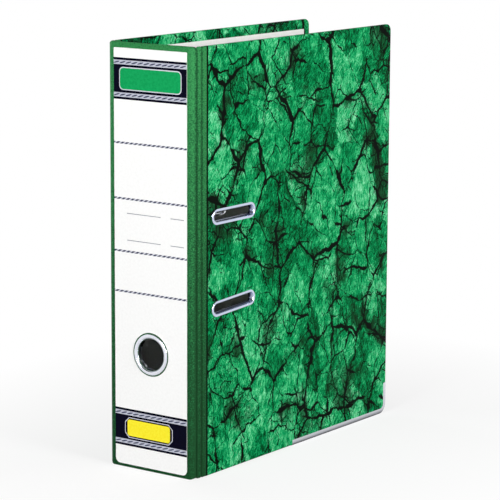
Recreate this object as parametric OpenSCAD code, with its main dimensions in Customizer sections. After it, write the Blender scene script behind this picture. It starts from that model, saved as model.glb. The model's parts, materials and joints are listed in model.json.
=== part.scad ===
// Lever arch file: a board case with folding covers, and a lever arch mechanism on the back cover.
// Case coordinates: x from the spine's outer face to the fore edge, y from the front cover to the
// back cover with 0 in the middle, z up from the surface that the file stands on.

/* [Case] */
// Height of the case
case_h = 350; // [300:1:400]
// Depth of the case, from the spine's face to the covers' fore edge
case_d = 282; // [240:1:320]
// Width of the spine, over both covers
spine_w = 90; // [80:1:110]
// Thickness of the grey board
board_t = 2.4; // [1.8:0.1:3]
// Thickness of each pasted sheet: cloth, marbled paper, lining and label
sheet_t = 0.3; // [0.2:0.05:0.4]
// Radius of the covers' upper fore corner
top_corner_r = 6; // [3:0.5:10]
// Radius of the covers' lower fore corner
foot_corner_r = 9; // [6:0.5:12]
// Width of the sheets' turn-in that shows round the lining
turn_in = 13; // [8:0.5:20]

/* [Hinges] */
// Outer radius of the spine's rounded edges
hinge_r = 7; // [5:0.5:9]
// Angle that the spine turns through before its crease
crease_angle = 60; // [50:1:70]
// Distance of the cover's crease from the spine's face
crease_reach = 9; // [8:0.5:12]
// Gap left at a crease between the boards
fold_gap = 0.2; // [0.1:0.05:0.4]
// Distance from the spine's face to the edge of the marbled paper
cloth_reach = 17.5; // [14:0.5:30]

/* [Spine label] */
// Width of the label
label_w = 74; // [50:1:76]
// Height of the label's lower edge
label_foot = 2.5; // [1:0.5:20]
// Height of the label
label_h = 343; // [250:1:345]
// Corner radius of the label
label_corner_r = 4; // [1:0.5:8]

/* [Finger ring] */
// Height of the finger hole's centre
ring_z = 98; // [60:1:140]
// Radius of the finger hole
ring_hole_r = 13; // [10:0.5:16]
// Wall of the ring's barrel
ring_wall = 0.6; // [0.4:0.1:1]
// Width of the ring's flange outside the barrel
ring_flange = 3.4; // [2:0.2:6]
// Height of the flange over the label
ring_rise = 0.9; // [0.5:0.1:1.5]
// Thickness of the washer inside the spine
washer_t = 0.6; // [0.4:0.1:1]
// Width and height of the rolled lip that holds the washer
ring_lip = 0.8; // [0.5:0.1:1.2]

/* [Cover slots] */
// Distance of the slots' middle from the spine's face
slot_x = 51.5; // [45:0.5:60]
// Distance between the two slots
slot_pitch = 74; // [66:0.5:90]
// Clear length of a slot
slot_l = 51; // [44:0.5:60]
// Clear height of a slot
slot_h = 5.6; // [5:0.2:8]
// Rise of the lower slot towards the fore edge, in degrees
lower_slot_tilt = 3; // [0:0.5:5]
// Wall of an eyelet at its mouth
eyelet_wall = 0.5; // [0.4:0.1:0.8]
// Width that an eyelet's mouth gains on each side of the clear slot
eyelet_flare = 1.6; // [0.5:0.1:2.5]
// Width of an eyelet's flange round its mouth
eyelet_flange = 2.2; // [1.6:0.1:3]
// Height of an eyelet's flange over the cover
eyelet_rise = 0.8; // [0.5:0.1:1.5]
// Width and height of an eyelet's rolled lip inside the cover
eyelet_lip = 0.5; // [0.3:0.1:0.8]

/* [Edge shoes] */
// Length of a shoe along the foot of a cover
shoe_l = 146; // [80:1:180]
// Height of a shoe up the fore edge
shoe_h = 28; // [20:1:60]
// Width of a shoe's legs on the faces
shoe_leg = 4.5; // [3:0.5:8]
// Sheet thickness of a shoe
shoe_t = 0.5; // [0.3:0.1:0.8]

/* [Mechanism] */
// Distance of the arches' axis from the spine's face
arch_x = 36; // [34:0.5:42]
// Distance between the two rings
ring_pitch = 70; // [66:0.5:90]
// Distance from the arches' axis to the posts
arch_span = 38; // [34:0.5:44]
// Radius of the arch wire
wire_r = 1.9; // [1.5:0.1:2.2]
// Height of the arches' axis over the lining
axis_h = 7; // [6:0.5:9]
// Radius of the posts
post_r = 2.4; // [2:0.1:3]
// Height of the posts over the lining
post_h = 50; // [40:1:56]
// Gap between a post and the arch that meets it
tip_gap = 0.4; // [0.2:0.1:0.8]
// Length of the base plate
plate_l = 140; // [110:1:180]
// Base plate's reach from the arches' axis towards the spine
plate_back = 12; // [9:0.5:18]
// Base plate's reach past the posts
plate_front = 12; // [9:0.5:20]
// Thickness of the base plate
plate_t = 1.2; // [0.8:0.1:1.6]
// Corner radius of the base plate
plate_corner_r = 6; // [2:0.5:9]
// Radial clearance of turning fits
running_gap = 0.05; // [0.02:0.01:0.1]
// Clearance of fixed pins and barrels in their holes
seat_gap = 0.02; // [0.01:0.01:0.04]
// Inset of the rivets from the base plate's ends and sides
rivet_inset = 7; // [6:0.5:10]
// Radius of the rivets' shanks
rivet_r = 2; // [1.5:0.1:3]
// Radius of the rivets' outer heads
rivet_head_r = 4.5; // [3.5:0.1:6]
// Height of the rivets' outer heads
rivet_rise = 0.8; // [0.5:0.1:1.5]

/* [Lever] */
// Distance of the lever's pin from the arches' axis
lever_u = 22; // [21:0.5:23]
// Height of the lever's pin over the lining
lever_v = 17; // [16.5:0.5:19]
// Radius of the lever's pin
lever_pin_r = 2; // [1.5:0.1:2.2]
// Distance from the lever's pin to its roller
roller_arm = 9; // [9:0.1:10]
// Radius of the roller
roller_r = 3.4; // [3:0.1:3.6]
// Length of the roller
roller_l = 9.6; // [8:0.1:11]
// Radius of the roller's pin
roller_pin_r = 1.5; // [1:0.1:1.7]
// Sheet thickness of the lever
lever_t = 1.2; // [1:0.1:1.6]
// Width of the lever's handle
handle_w = 22; // [16:0.5:28]
// Reach of the handle from the lever's pin towards the spine
handle_l = 46; // [38:0.5:50]

/* [Compressor] */
// Length of the compressor bar
bar_l = 104; // [90:1:120]
// Width of the compressor bar
bar_w = 18; // [16:0.5:20]
// Thickness of the compressor bar
bar_t = 1.2; // [0.8:0.1:1.6]
// Clearance of the bar's holes round the posts
bar_gap = 0.3; // [0.2:0.05:0.6]
// Radius of the catch wire
catch_r = 1.2; // [0.8:0.1:1.4]

/* [Hidden] */
$fn = 64;
// Cutting tools reach this far past the faces that they cut
over = 1;

// Least radius of a corner that is drawn in by an inset
least_corner_r = 2;
// Width of the edge taken off the finger ring
ring_edge = 0.3;
// Width of the edge taken off the eyelets, and length of their narrowest stretch
eyelet_edge = 0.25;
eyelet_land = 0.8;

// The case's layers, from the outside in
board_in = sheet_t + board_t;
pack_t = board_in + sheet_t;
// The covers stand clear of the surface by the thickness of their metal shoes
cover_foot = shoe_t;
half_w = spine_w / 2;
// What stands proud of the case on each side sets the middle of the whole file
ring_proud = sheet_t + ring_rise;
centre_x = (case_d + shoe_t - ring_proud) / 2;
centre_y = (rivet_rise - eyelet_rise) / 2;

// Creases on the outer surface, as x and the depth below the cover's face
crease_in = [hinge_r * (1 - cos(crease_angle)), hinge_r * (1 - sin(crease_angle))];
crease_out = [crease_reach, 0];
rib_dir = (crease_out - crease_in) / norm(crease_out - crease_in);
rib_normal = [-rib_dir.y, rib_dir.x];
crease_dir = [cos(crease_angle), sin(crease_angle)];
cover_start = crease_reach + pack_t * rib_normal.x / rib_normal.y;

slot_end_r = slot_h / 2;
slot_straight = slot_l - slot_h;

ring_barrel_r = ring_hole_r + ring_wall;
ring_outer_r = ring_barrel_r + ring_flange;

// Mechanism places, as u from the arches' axis, w up from mid-height and v from the lining
ring_w = ring_pitch / 2;
arch_bend_r = arch_span / 2;
arch_top = post_h + tip_gap;
plate_u = arch_span + plate_front;
rivet_u = [rivet_inset - plate_back, plate_u - rivet_inset];
rivet_w = plate_l / 2 - rivet_inset;
collar_flange = 1.8;
collar_r = post_r + collar_flange;
collar_h = 2;
post_bore_r = post_r / 2;
post_bore_depth = 6;
// Rivets are clinched over the base plate
clinch_flange = 1.6;
clinch_h = 0.9;

// The lever's cheeks stand either side of the roller, and the plate's ears outside them
side_play = 0.4;
cheek_w = roller_l / 2 + side_play;
cheek_wall = 2;
roller_head_h = 0.8;
ear_w = cheek_w + lever_t + 2 * roller_head_h + side_play;
ear_t = 1.4;
ear_wall = 1.8;
ear_r = lever_pin_r + ear_wall;
pin_head_h = 1.2;
pin_head_r = lever_pin_r + pin_head_h;
roller_angle = 220;
roller_u = lever_u + roller_arm * cos(roller_angle);
roller_v = lever_v + roller_arm * sin(roller_angle);
cheek_r = lever_pin_r + cheek_wall;
// The cheeks end inside the roller's tread
tread = 0.6;
cheek_end_r = roller_r - tread;
// The handle lies over the pin and bends up towards its end
handle_cover = 1.2;
handle_flat = 27.6;
handle_v = lever_v + lever_pin_r + handle_cover;
handle_bend_u = lever_u - handle_flat;
handle_end_u = lever_u - handle_l;
handle_rise = 3.5;
curl_r = 2.2;

// The arch wire's crank lies under the roller
crank_gap = 0.15;
crank_lead = 0.4;
crank_u = roller_u + crank_lead;
crank_v = roller_v - roller_r - wire_r - crank_gap;
crank_w = ear_w + ear_t + pin_head_h + side_play + wire_r;
bearing_l = 9;
// The wire is a little thicker at its bends
bend_swell = 0.05;
bearing_w = (crank_w + ring_w) / 2;
bearing_wall = 1.8;
bearing_r = wire_r + bearing_wall;

// The compressor bar lies over the posts' collars, a little towards the fore edge
bar_rest = 0.6;
bar_shift = 1;
bar_v = plate_t + collar_h + bar_rest;
bar_u = arch_span - bar_w / 2 + bar_shift;
bar_corner_r = 4;
bar_bead_r = 1;
// The catch lies on the bar, between the posts
catch_play = 0.2;
catch_inset = 2.4;
catch_front_inset = 2.2;
post_play = 0.5;
catch_v = bar_v + bar_t + catch_r + catch_play;
catch_u = bar_u + bar_w - catch_r - catch_inset;
catch_leg_w = ring_w - post_r - catch_r - post_play;
catch_front_u = bar_u + catch_r + catch_front_inset;
eye_wall = 0.9;
eye_inset = 2.6;
eye_r = catch_r + eye_wall;
eye_l = 4;
eye_w = catch_leg_w - catch_r - eye_inset;

cloth_green = [0.10, 0.42, 0.22];
marble_green = [0.02, 0.55, 0.34];
board_grey = [0.55, 0.53, 0.50];
paper_white = [0.95, 0.95, 0.93];
nickel = [0.78, 0.78, 0.76];
nylon = [0.12, 0.12, 0.12];

// Moves case coordinates so that the origin is under the middle of the whole file
module in_case() translate([-centre_x, -centre_y, 0]) children();

// Moves mechanism coordinates to the back cover's lining at mid-height
module in_mechanism() in_case() on_back_lining() children();

module on_back_lining() translate([arch_x, half_w - pack_t, case_h / 2]) rotate([90, 0, 0]) children();

// A slab of the case between two heights, from an outline seen from above
module upright(low, high) translate([0, 0, low]) linear_extrude(high - low) children();

// One layer of the spine with its rounded edges, seen from above
module spine_layer(outer, inner) {
    translate([outer, hinge_r - half_w]) square([inner - outer, spine_w - 2 * hinge_r]);
    for (side = [0, 1]) mirror([0, side]) translate([hinge_r, hinge_r - half_w])
        intersection() {
            difference() {
                circle(hinge_r - outer);
                circle(hinge_r - inner);
            }
            polygon([
                [0, 0],
                2 * hinge_r * [-1, 0],
                2 * hinge_r * [-cos(crease_angle / 2), -sin(crease_angle / 2)],
                2 * hinge_r * [-cos(crease_angle), -sin(crease_angle)]
            ]);
        }
}

// One layer of the front rib between its creases, seen from above
module rib_layer(outer, inner) {
    slant = crease_dir * rib_normal;
    translate([0, -half_w]) polygon([
        crease_in + fold_gap * rib_dir + outer / slant * crease_dir,
        crease_out - fold_gap * rib_dir + outer * rib_normal,
        crease_out - fold_gap * rib_dir + inner * rib_normal,
        crease_in + fold_gap * rib_dir + inner / slant * crease_dir
    ]);
}

// Outline of a cover in its own plane, drawn in by an inset from its foot, top and fore edges
module cover_outline(start, inset) {
    fore = case_d - inset;
    foot = cover_foot + inset;
    top = case_h - inset;
    top_r = max(top_corner_r - inset, least_corner_r);
    foot_r = max(foot_corner_r - inset, least_corner_r);
    translate([start, foot + foot_r]) square([fore - start, top - foot - top_r - foot_r]);
    translate([start, foot]) square([fore - foot_r - start, top - foot - top_r]);
    translate([start, foot + foot_r]) square([fore - top_r - start, top - foot - foot_r]);
    translate([fore - top_r, top - top_r]) circle(top_r);
    translate([fore - foot_r, foot + foot_r]) circle(foot_r);
}

// A layer of the front cover between two depths below its outer face
module cover_layer(outer, inner)
    translate([0, inner - half_w, 0]) rotate([90, 0, 0]) linear_extrude(inner - outer) children();

// Turns a front piece into its mirror image for the back
module for_back() mirror([0, 1, 0]) children();

// Outline of a slot with round ends, grown all round
module slot_outline(grow) {
    translate([-slot_straight / 2, -slot_end_r - grow]) square([slot_straight, slot_h + 2 * grow]);
    for (side = [-1, 1]) translate([side * slot_straight / 2, 0]) circle(slot_end_r + grow);
}

// Carries a section, drawn as width outside the clear slot and height, once round the slot
module round_slot() for (half = [0, 180]) rotate(half) {
    translate([slot_straight / 2, 0, 0]) rotate(-90) rotate_extrude(angle = 180)
        translate([slot_end_r, 0]) children();
    translate([slot_straight / 2, 0, 0]) rotate([90, 0, -90]) linear_extrude(slot_straight)
        translate([slot_end_r, 0]) children();
}

// The lower slot is -1 and the upper slot is 1
module at_slot(side)
    translate([slot_x, case_h / 2 + side * slot_pitch / 2])
        rotate(side < 0 ? lower_slot_tilt : 0) children();

// Holes for both eyelets through every layer of the front cover
module slot_holes() cover_layer(-over, pack_t + over)
    for (side = [-1, 1]) at_slot(side) slot_outline(eyelet_flare + eyelet_wall + seat_gap);

// Bodies along the finger hole's axis start at the spine's face and point inwards
module at_ring() translate([0, 0, ring_z]) rotate([0, 90, 0]) children();

module ring_hole() at_ring() translate([0, 0, -ring_proud - over])
    cylinder(r = ring_barrel_r + seat_gap, h = ring_proud + pack_t + hinge_r + over);

// Round bodies at the four rivets, along the mechanism's v
module at_rivets() for (u = rivet_u, side = [-1, 1]) translate([u, side * rivet_w, 0]) children();

module rivet_holes() on_back_lining() at_rivets()
    translate([0, 0, -pack_t - over]) cylinder(r = rivet_r + seat_gap, h = pack_t + 2 * over);

// A body that lies along w, from one place to another
module along_w(u, v, from, to, r) translate([u, to, v]) rotate([90, 0, 0]) cylinder(r = r, h = to - from);

// A body drawn as an outline in u and v, with a width in w
module across_w(from, to) translate([0, to, 0]) rotate([90, 0, 0]) linear_extrude(to - from) children();

// A straight length of wire between two points
module straight(from, to, r) {
    step = to - from;
    tilt = acos(step.z / norm(step));
    translate(from) rotate([0, tilt, atan2(step.y, step.x)]) cylinder(r = r, h = norm(step));
}

// A straight length of wire with round ends
module wire(from, to, r) {
    straight(from, to, r);
    translate(from) sphere(r);
    translate(to) sphere(r);
}

// Outline of a plate with round corners, from one corner to the opposite one
module plate_outline(low, high, r) {
    translate([low.x + r, low.y]) square([high.x - low.x - 2 * r, high.y - low.y]);
    translate([low.x, low.y + r]) square([high.x - low.x, high.y - low.y - 2 * r]);
    for (x = [low.x + r, high.x - r], y = [low.y + r, high.y - r]) translate([x, y]) circle(r);
}

// Spine

module spine_board() color(board_grey) in_case() difference() {
    upright(sheet_t, case_h - sheet_t) spine_layer(sheet_t, board_in);
    ring_hole();
}

module spine_cloth() color(cloth_green) in_case() difference() {
    upright(0, case_h) spine_layer(0, pack_t);
    upright(sheet_t, case_h - sheet_t) spine_layer(sheet_t, board_in);
    upright(turn_in, case_h - turn_in) spine_layer(board_in, pack_t);
    ring_hole();
}

module spine_lining() color(paper_white) in_case() difference() {
    upright(turn_in, case_h - turn_in) spine_layer(board_in, pack_t);
    ring_hole();
}

module spine_label() color(paper_white) in_case() difference() {
    translate([-sheet_t, 0, 0]) rotate([90, 0, 90]) linear_extrude(sheet_t)
        plate_outline([-label_w / 2, label_foot], [label_w / 2, label_foot + label_h], label_corner_r);
    ring_hole();
}

module finger_ring() color(nickel) in_case() at_ring() {
    washer_top = pack_t + washer_t;
    rotate_extrude() polygon([
        [ring_hole_r, -ring_proud + ring_edge],
        [ring_hole_r + ring_edge, -ring_proud],
        [ring_outer_r - 2 * ring_edge, -ring_proud],
        [ring_outer_r, -sheet_t - ring_edge],
        [ring_outer_r, -sheet_t],
        [ring_barrel_r, -sheet_t],
        [ring_barrel_r, washer_top],
        [ring_barrel_r + ring_lip, washer_top],
        [ring_barrel_r + ring_lip, washer_top + ring_lip / 2],
        [ring_barrel_r, washer_top + ring_lip],
        [ring_hole_r, washer_top + ring_lip]
    ]);
}

module finger_ring_washer() color(nickel) in_case() at_ring() translate([0, 0, pack_t]) difference() {
    cylinder(r = ring_outer_r, h = washer_t);
    translate([0, 0, -over]) cylinder(r = ring_barrel_r + seat_gap, h = washer_t + 2 * over);
}

// Ribs between the creases

module rib_core() upright(cover_foot + sheet_t, case_h - sheet_t) rib_layer(sheet_t, pack_t);

// The cloth lies over the rib's board and turns over both its ends
module rib_skin() {
    upright(cover_foot, case_h) rib_layer(0, sheet_t);
    upright(cover_foot, cover_foot + sheet_t) rib_layer(0, pack_t);
    upright(case_h - sheet_t, case_h) rib_layer(0, pack_t);
}

module front_rib_board() color(board_grey) in_case() rib_core();

module front_rib_cloth() color(cloth_green) in_case() rib_skin();

module back_rib_board() color(board_grey) in_case() for_back() rib_core();

module back_rib_cloth() color(cloth_green) in_case() for_back() rib_skin();

// Covers

module cover_core() cover_layer(sheet_t, board_in) cover_outline(cover_start, sheet_t);

// A pasted sheet that wraps the board's edges and turns in round the lining
module cover_wrap(start, end) intersection() {
    difference() {
        cover_layer(0, pack_t) cover_outline(cover_start, 0);
        cover_core();
        cover_inner();
    }
    translate([start, -half_w - over, -over]) cube([end - start, pack_t + 2 * over, case_h + 2 * over]);
}

module cover_inner() cover_layer(board_in, pack_t) cover_outline(cover_start, turn_in);

module cover_paper() cover_wrap(cloth_reach, case_d + over);

module cover_hinge_cloth() cover_wrap(cover_start, cloth_reach);

// A folded metal channel round the lower fore corner
module cover_shoe() difference() {
    cover_layer(-shoe_t, pack_t + shoe_t) intersection() {
        difference() {
            cover_outline(cover_start, -shoe_t);
            cover_outline(cover_start, shoe_leg);
        }
        translate([case_d - shoe_l, cover_foot - shoe_t]) square([shoe_l + shoe_t, shoe_h]);
    }
    cover_layer(0, pack_t) cover_outline(cover_start, 0);
}

// The eyelet narrows from its mouth to the clear slot, and its height counts from the cover's face
module slot_eyelet(side) translate([0, -half_w, 0]) rotate([90, 0, 0]) at_slot(side) round_slot() {
    barrel = eyelet_flare + eyelet_wall;
    rim = eyelet_flare + eyelet_flange;
    polygon([
        [0, -pack_t - eyelet_lip],
        [barrel + eyelet_lip, -pack_t - eyelet_lip],
        [barrel + eyelet_lip, -pack_t],
        [barrel, -pack_t],
        [barrel, 0],
        [rim, 0],
        [rim, eyelet_edge],
        [rim - 2 * eyelet_edge, eyelet_rise],
        [eyelet_flare + eyelet_edge, eyelet_rise],
        [eyelet_flare, eyelet_rise - eyelet_edge],
        [0, eyelet_land - pack_t - eyelet_lip]
    ]);
}

module front_board() color(board_grey) in_case() difference() {
    cover_core();
    slot_holes();
}

module front_cover_paper() color(marble_green) in_case() difference() {
    cover_paper();
    slot_holes();
}

module front_hinge_cloth() color(cloth_green) in_case() cover_hinge_cloth();

module front_lining() color(paper_white) in_case() difference() {
    cover_inner();
    slot_holes();
}

module upper_slot_eyelet() color(nickel) in_case() slot_eyelet(1);

module lower_slot_eyelet() color(nickel) in_case() slot_eyelet(-1);

module front_edge_shoe() color(nickel) in_case() cover_shoe();

module back_board() color(board_grey) in_case() difference() {
    for_back() cover_core();
    rivet_holes();
}

module back_cover_paper() color(marble_green) in_case() difference() {
    for_back() cover_paper();
    rivet_holes();
}

module back_hinge_cloth() color(cloth_green) in_case() for_back() cover_hinge_cloth();

module back_lining() color(paper_white) in_case() difference() {
    for_back() cover_inner();
    rivet_holes();
}

module back_edge_shoe() color(nickel) in_case() for_back() cover_shoe();

// Mechanism

module base_plate() color(nickel) in_mechanism() {
    difference() {
        linear_extrude(plate_t)
            plate_outline([-plate_back, -plate_l / 2], [plate_u, plate_l / 2], plate_corner_r);
        at_rivets() translate([0, 0, -over]) cylinder(r = rivet_r + seat_gap, h = plate_t + 2 * over);
        for (side = [-1, 1]) translate([arch_span, side * ring_w, -over])
            cylinder(r = post_r + seat_gap, h = plate_t + 2 * over);
    }
    for (side = [-1, 1]) {
        bearing(side * bearing_w);
        ear(side * (ear_w + ear_t / 2));
    }
}

// A bearing that the arch wire turns in
module bearing(w) difference() {
    across_w(w - bearing_l / 2, w + bearing_l / 2) {
        translate([-bearing_r, plate_t / 2]) square([2 * bearing_r, axis_h - plate_t / 2]);
        translate([0, axis_h]) circle(bearing_r);
    }
    along_w(0, axis_h, w - bearing_l, w + bearing_l, wire_r + running_gap);
}

// An ear that holds the lever's pin
module ear(w) difference() {
    across_w(w - ear_t / 2, w + ear_t / 2) {
        translate([lever_u - ear_r, plate_t / 2]) square([2 * ear_r, lever_v - plate_t / 2]);
        translate([lever_u, lever_v]) circle(ear_r);
    }
    along_w(lever_u, lever_v, w - ear_t, w + ear_t, lever_pin_r + seat_gap);
}

// A tubular post riveted into the base plate
module post(side) in_mechanism() translate([arch_span, side * ring_w, 0]) difference() {
    union() {
        cylinder(r = post_r, h = post_h);
        translate([0, 0, plate_t]) cylinder(r = collar_r, h = collar_h);
    }
    translate([0, 0, post_h - post_bore_depth]) cylinder(r = post_bore_r, h = post_bore_depth + over);
}

module upper_post() color(nickel) post(1);

module lower_post() color(nickel) post(-1);

module lever_pin() color(nickel) in_mechanism() {
    end_w = ear_w + ear_t;
    along_w(lever_u, lever_v, -end_w - pin_head_h, end_w + pin_head_h, lever_pin_r);
    for (side = [0, 1]) mirror([0, side])
        along_w(lever_u, lever_v, end_w, end_w + pin_head_h, pin_head_r);
}

module mounting_rivets() color(nickel) in_mechanism() at_rivets() {
    translate([0, 0, -pack_t]) cylinder(r = rivet_r, h = pack_t + plate_t + clinch_h);
    translate([0, 0, plate_t]) cylinder(r = rivet_r + clinch_flange, h = clinch_h);
    translate([0, 0, -pack_t]) rotate([180, 0, 0])
        cylinder(r1 = rivet_head_r, r2 = rivet_head_r - rivet_rise, h = rivet_rise);
}

// Both arches and their crank, bent from one wire
module arch_wire() color(nickel) in_mechanism() {
    for (side = [-1, 1]) {
        axis_inner = [0, side * crank_w, axis_h];
        axis_outer = [0, side * ring_w, axis_h];
        crank_end = [crank_u, side * crank_w, crank_v];
        leg_top = [0, side * ring_w, arch_top];
        straight(axis_inner, axis_outer, wire_r);
        straight(axis_outer, leg_top, wire_r);
        straight(axis_inner, crank_end, wire_r);
        for (bend = [axis_inner, axis_outer, crank_end, leg_top])
            translate(bend) sphere(wire_r + bend_swell);
        translate([arch_bend_r, side * ring_w, arch_top]) rotate([90, 0, 0])
            rotate_extrude(angle = 180) translate([arch_bend_r, 0]) circle(wire_r);
    }
    along_w(crank_u, crank_v, -crank_w, crank_w, wire_r);
}

// Lever

// Side of the lever from its pin to its roller, and up to the handle
module cheek_outline() {
    translate([lever_u, lever_v]) circle(cheek_r);
    translate([roller_u, roller_v]) circle(cheek_end_r);
    polygon([
        [lever_u, lever_v + cheek_r],
        [roller_u - cheek_end_r, handle_v + lever_t / 2],
        [roller_u - cheek_end_r, roller_v],
        [roller_u, roller_v - cheek_end_r],
        [lever_u, lever_v - cheek_r]
    ]);
}

// The handle seen from its side, rising to a curled end
module handle_outline() {
    polygon([
        [lever_u, handle_v],
        [handle_bend_u, handle_v],
        [handle_end_u, handle_v + handle_rise],
        [handle_end_u, handle_v + handle_rise + lever_t],
        [handle_bend_u, handle_v + lever_t],
        [lever_u, handle_v + lever_t]
    ]);
    translate([handle_end_u, handle_v + handle_rise + lever_t - curl_r]) circle(curl_r);
}

module lever() color(nickel) in_mechanism() difference() {
    wide_from = roller_u - cheek_end_r;
    union() {
        for (side = [0, 1]) mirror([0, side]) across_w(cheek_w, cheek_w + lever_t) cheek_outline();
        intersection() {
            across_w(-handle_w / 2, handle_w / 2) handle_outline();
            union() {
                translate([handle_end_u - 2 * curl_r, -handle_w / 2, 0])
                    cube([wide_from - handle_end_u + 2 * curl_r, handle_w, case_h]);
                translate([handle_end_u, -cheek_w - lever_t, 0])
                    cube([lever_u - handle_end_u, 2 * (cheek_w + lever_t), case_h]);
            }
        }
    }
    along_w(lever_u, lever_v, -handle_w, handle_w, lever_pin_r + running_gap);
    along_w(roller_u, roller_v, -handle_w, handle_w, roller_pin_r + seat_gap);
}

module roller_pin() color(nickel) in_mechanism() {
    end_w = cheek_w + lever_t;
    head_r = roller_pin_r + roller_head_h;
    along_w(roller_u, roller_v, -end_w - roller_head_h, end_w + roller_head_h, roller_pin_r);
    for (side = [0, 1]) mirror([0, side])
        along_w(roller_u, roller_v, end_w, end_w + roller_head_h, head_r);
}

module lever_roller() color(nylon) in_mechanism() difference() {
    along_w(roller_u, roller_v, -roller_l / 2, roller_l / 2, roller_r);
    along_w(roller_u, roller_v, -roller_l, roller_l, roller_pin_r + running_gap);
}

// Compressor

module compressor_bar() color(nickel) in_mechanism() {
    difference() {
        translate([0, 0, bar_v]) linear_extrude(bar_t)
            plate_outline([bar_u, -bar_l / 2], [bar_u + bar_w, bar_l / 2], bar_corner_r);
        for (side = [-1, 1]) translate([arch_span, side * ring_w, bar_v - over])
            cylinder(r = post_r + bar_gap, h = bar_t + 2 * over);
    }
    bead_w = bar_l / 2 - bar_corner_r;
    for (u = [bar_u + bar_bead_r, bar_u + bar_w - bar_bead_r])
        wire([u, -bead_w, bar_v + bar_t], [u, bead_w, bar_v + bar_t], bar_bead_r);
    for (side = [-1, 1]) catch_eye(side * eye_w);
}

// An eye that the catch turns in
module catch_eye(w) difference() {
    across_w(w - eye_l / 2, w + eye_l / 2) {
        translate([catch_u - eye_r, bar_v + bar_t / 2]) square([2 * eye_r, catch_v - bar_v - bar_t / 2]);
        translate([catch_u, catch_v]) circle(eye_r);
    }
    along_w(catch_u, catch_v, w - eye_l, w + eye_l, catch_r + running_gap);
}

module compressor_catch() color(nickel) in_mechanism() {
    for (side = [0, 1]) mirror([0, side]) {
        wire([catch_u, eye_w - eye_l, catch_v], [catch_u, catch_leg_w, catch_v], catch_r);
        wire([catch_u, catch_leg_w, catch_v], [catch_front_u, catch_leg_w, catch_v], catch_r);
    }
    along_w(catch_front_u, catch_v, -catch_leg_w, catch_leg_w, catch_r);
}

spine_board();
spine_cloth();
spine_lining();
spine_label();
finger_ring();
finger_ring_washer();
front_rib_board();
front_rib_cloth();
front_board();
front_cover_paper();
front_hinge_cloth();
front_lining();
upper_slot_eyelet();
lower_slot_eyelet();
front_edge_shoe();
back_rib_board();
back_rib_cloth();
back_board();
back_cover_paper();
back_hinge_cloth();
back_lining();
back_edge_shoe();
base_plate();
upper_post();
lower_post();
lever_pin();
mounting_rivets();
arch_wire();
lever();
roller_pin();
lever_roller();
compressor_bar();
compressor_catch();
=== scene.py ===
"""Dresses a lever arch file: cloth and marbled paper case, printed label, nickel fittings and mechanism."""

import json
import logging
import math
from collections.abc import Callable, Iterable, Sequence
from dataclasses import dataclass, field
from enum import Enum
from functools import cached_property
from typing import Any

import bmesh
import bpy
from mathutils import Matrix, Vector


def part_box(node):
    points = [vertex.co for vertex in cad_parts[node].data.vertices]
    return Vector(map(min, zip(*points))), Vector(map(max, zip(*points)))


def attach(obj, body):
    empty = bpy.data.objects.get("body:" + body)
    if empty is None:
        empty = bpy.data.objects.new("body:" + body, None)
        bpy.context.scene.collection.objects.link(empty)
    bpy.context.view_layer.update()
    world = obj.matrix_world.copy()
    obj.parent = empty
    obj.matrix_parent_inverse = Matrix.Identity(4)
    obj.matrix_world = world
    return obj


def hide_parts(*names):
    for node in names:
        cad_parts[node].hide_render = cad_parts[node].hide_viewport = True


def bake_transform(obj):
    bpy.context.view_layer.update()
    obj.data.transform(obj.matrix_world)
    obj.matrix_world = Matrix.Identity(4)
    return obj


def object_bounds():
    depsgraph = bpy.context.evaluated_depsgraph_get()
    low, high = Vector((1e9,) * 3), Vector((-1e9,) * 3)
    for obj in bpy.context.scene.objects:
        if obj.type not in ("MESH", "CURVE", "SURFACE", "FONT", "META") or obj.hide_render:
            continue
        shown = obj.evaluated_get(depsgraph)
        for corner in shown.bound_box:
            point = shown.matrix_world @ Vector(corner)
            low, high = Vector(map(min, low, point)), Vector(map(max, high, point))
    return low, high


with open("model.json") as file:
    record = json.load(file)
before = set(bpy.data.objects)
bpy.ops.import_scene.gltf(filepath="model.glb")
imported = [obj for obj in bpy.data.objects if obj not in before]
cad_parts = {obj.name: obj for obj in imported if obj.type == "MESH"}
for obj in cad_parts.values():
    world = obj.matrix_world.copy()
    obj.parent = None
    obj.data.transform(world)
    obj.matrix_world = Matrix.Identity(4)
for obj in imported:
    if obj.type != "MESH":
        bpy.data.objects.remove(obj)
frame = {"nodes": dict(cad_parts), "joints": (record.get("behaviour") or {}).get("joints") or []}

# Short names for types that many methods take
Tree = bpy.types.NodeTree
Socket = bpy.types.NodeSocket

CAD_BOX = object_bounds()
LOG = logging.getLogger("lever_arch_file")

# One millimetre in the frame's metres
MM = 0.001
ALONG = Vector((1.0, 0.0, 0.0))
INWARD = Vector((0.0, 1.0, 0.0))
UP = Vector((0.0, 0.0, 1.0))
FULL_TURN = 2 * math.pi
# Places nearer than this count as the same
TINY = 0.01 * MM
# Points of a mesh nearer than this are merged
MERGE = 0.002 * MM
JOINTS = {joint["name"]: joint for joint in frame["joints"]}
# Names and signs of what comes in an upper and a lower one
SIDES = (("upper", 1), ("lower", -1))


# Node helpers


def linear(code: str) -> tuple[float, float, float, float]:
    """Turns a colour written as sRGB into a linear one.

    Args:
        code: Colour as #RRGGBB.

    Returns:
        Linear red, green and blue, and an alpha of 1.
    """
    values = [int(code[i : i + 2], 16) / 255 for i in (1, 3, 5)]
    red, green, blue = (v / 12.92 if v <= 0.04045 else ((v + 0.055) / 1.055) ** 2.4 for v in values)
    return red, green, blue, 1.0


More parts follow.
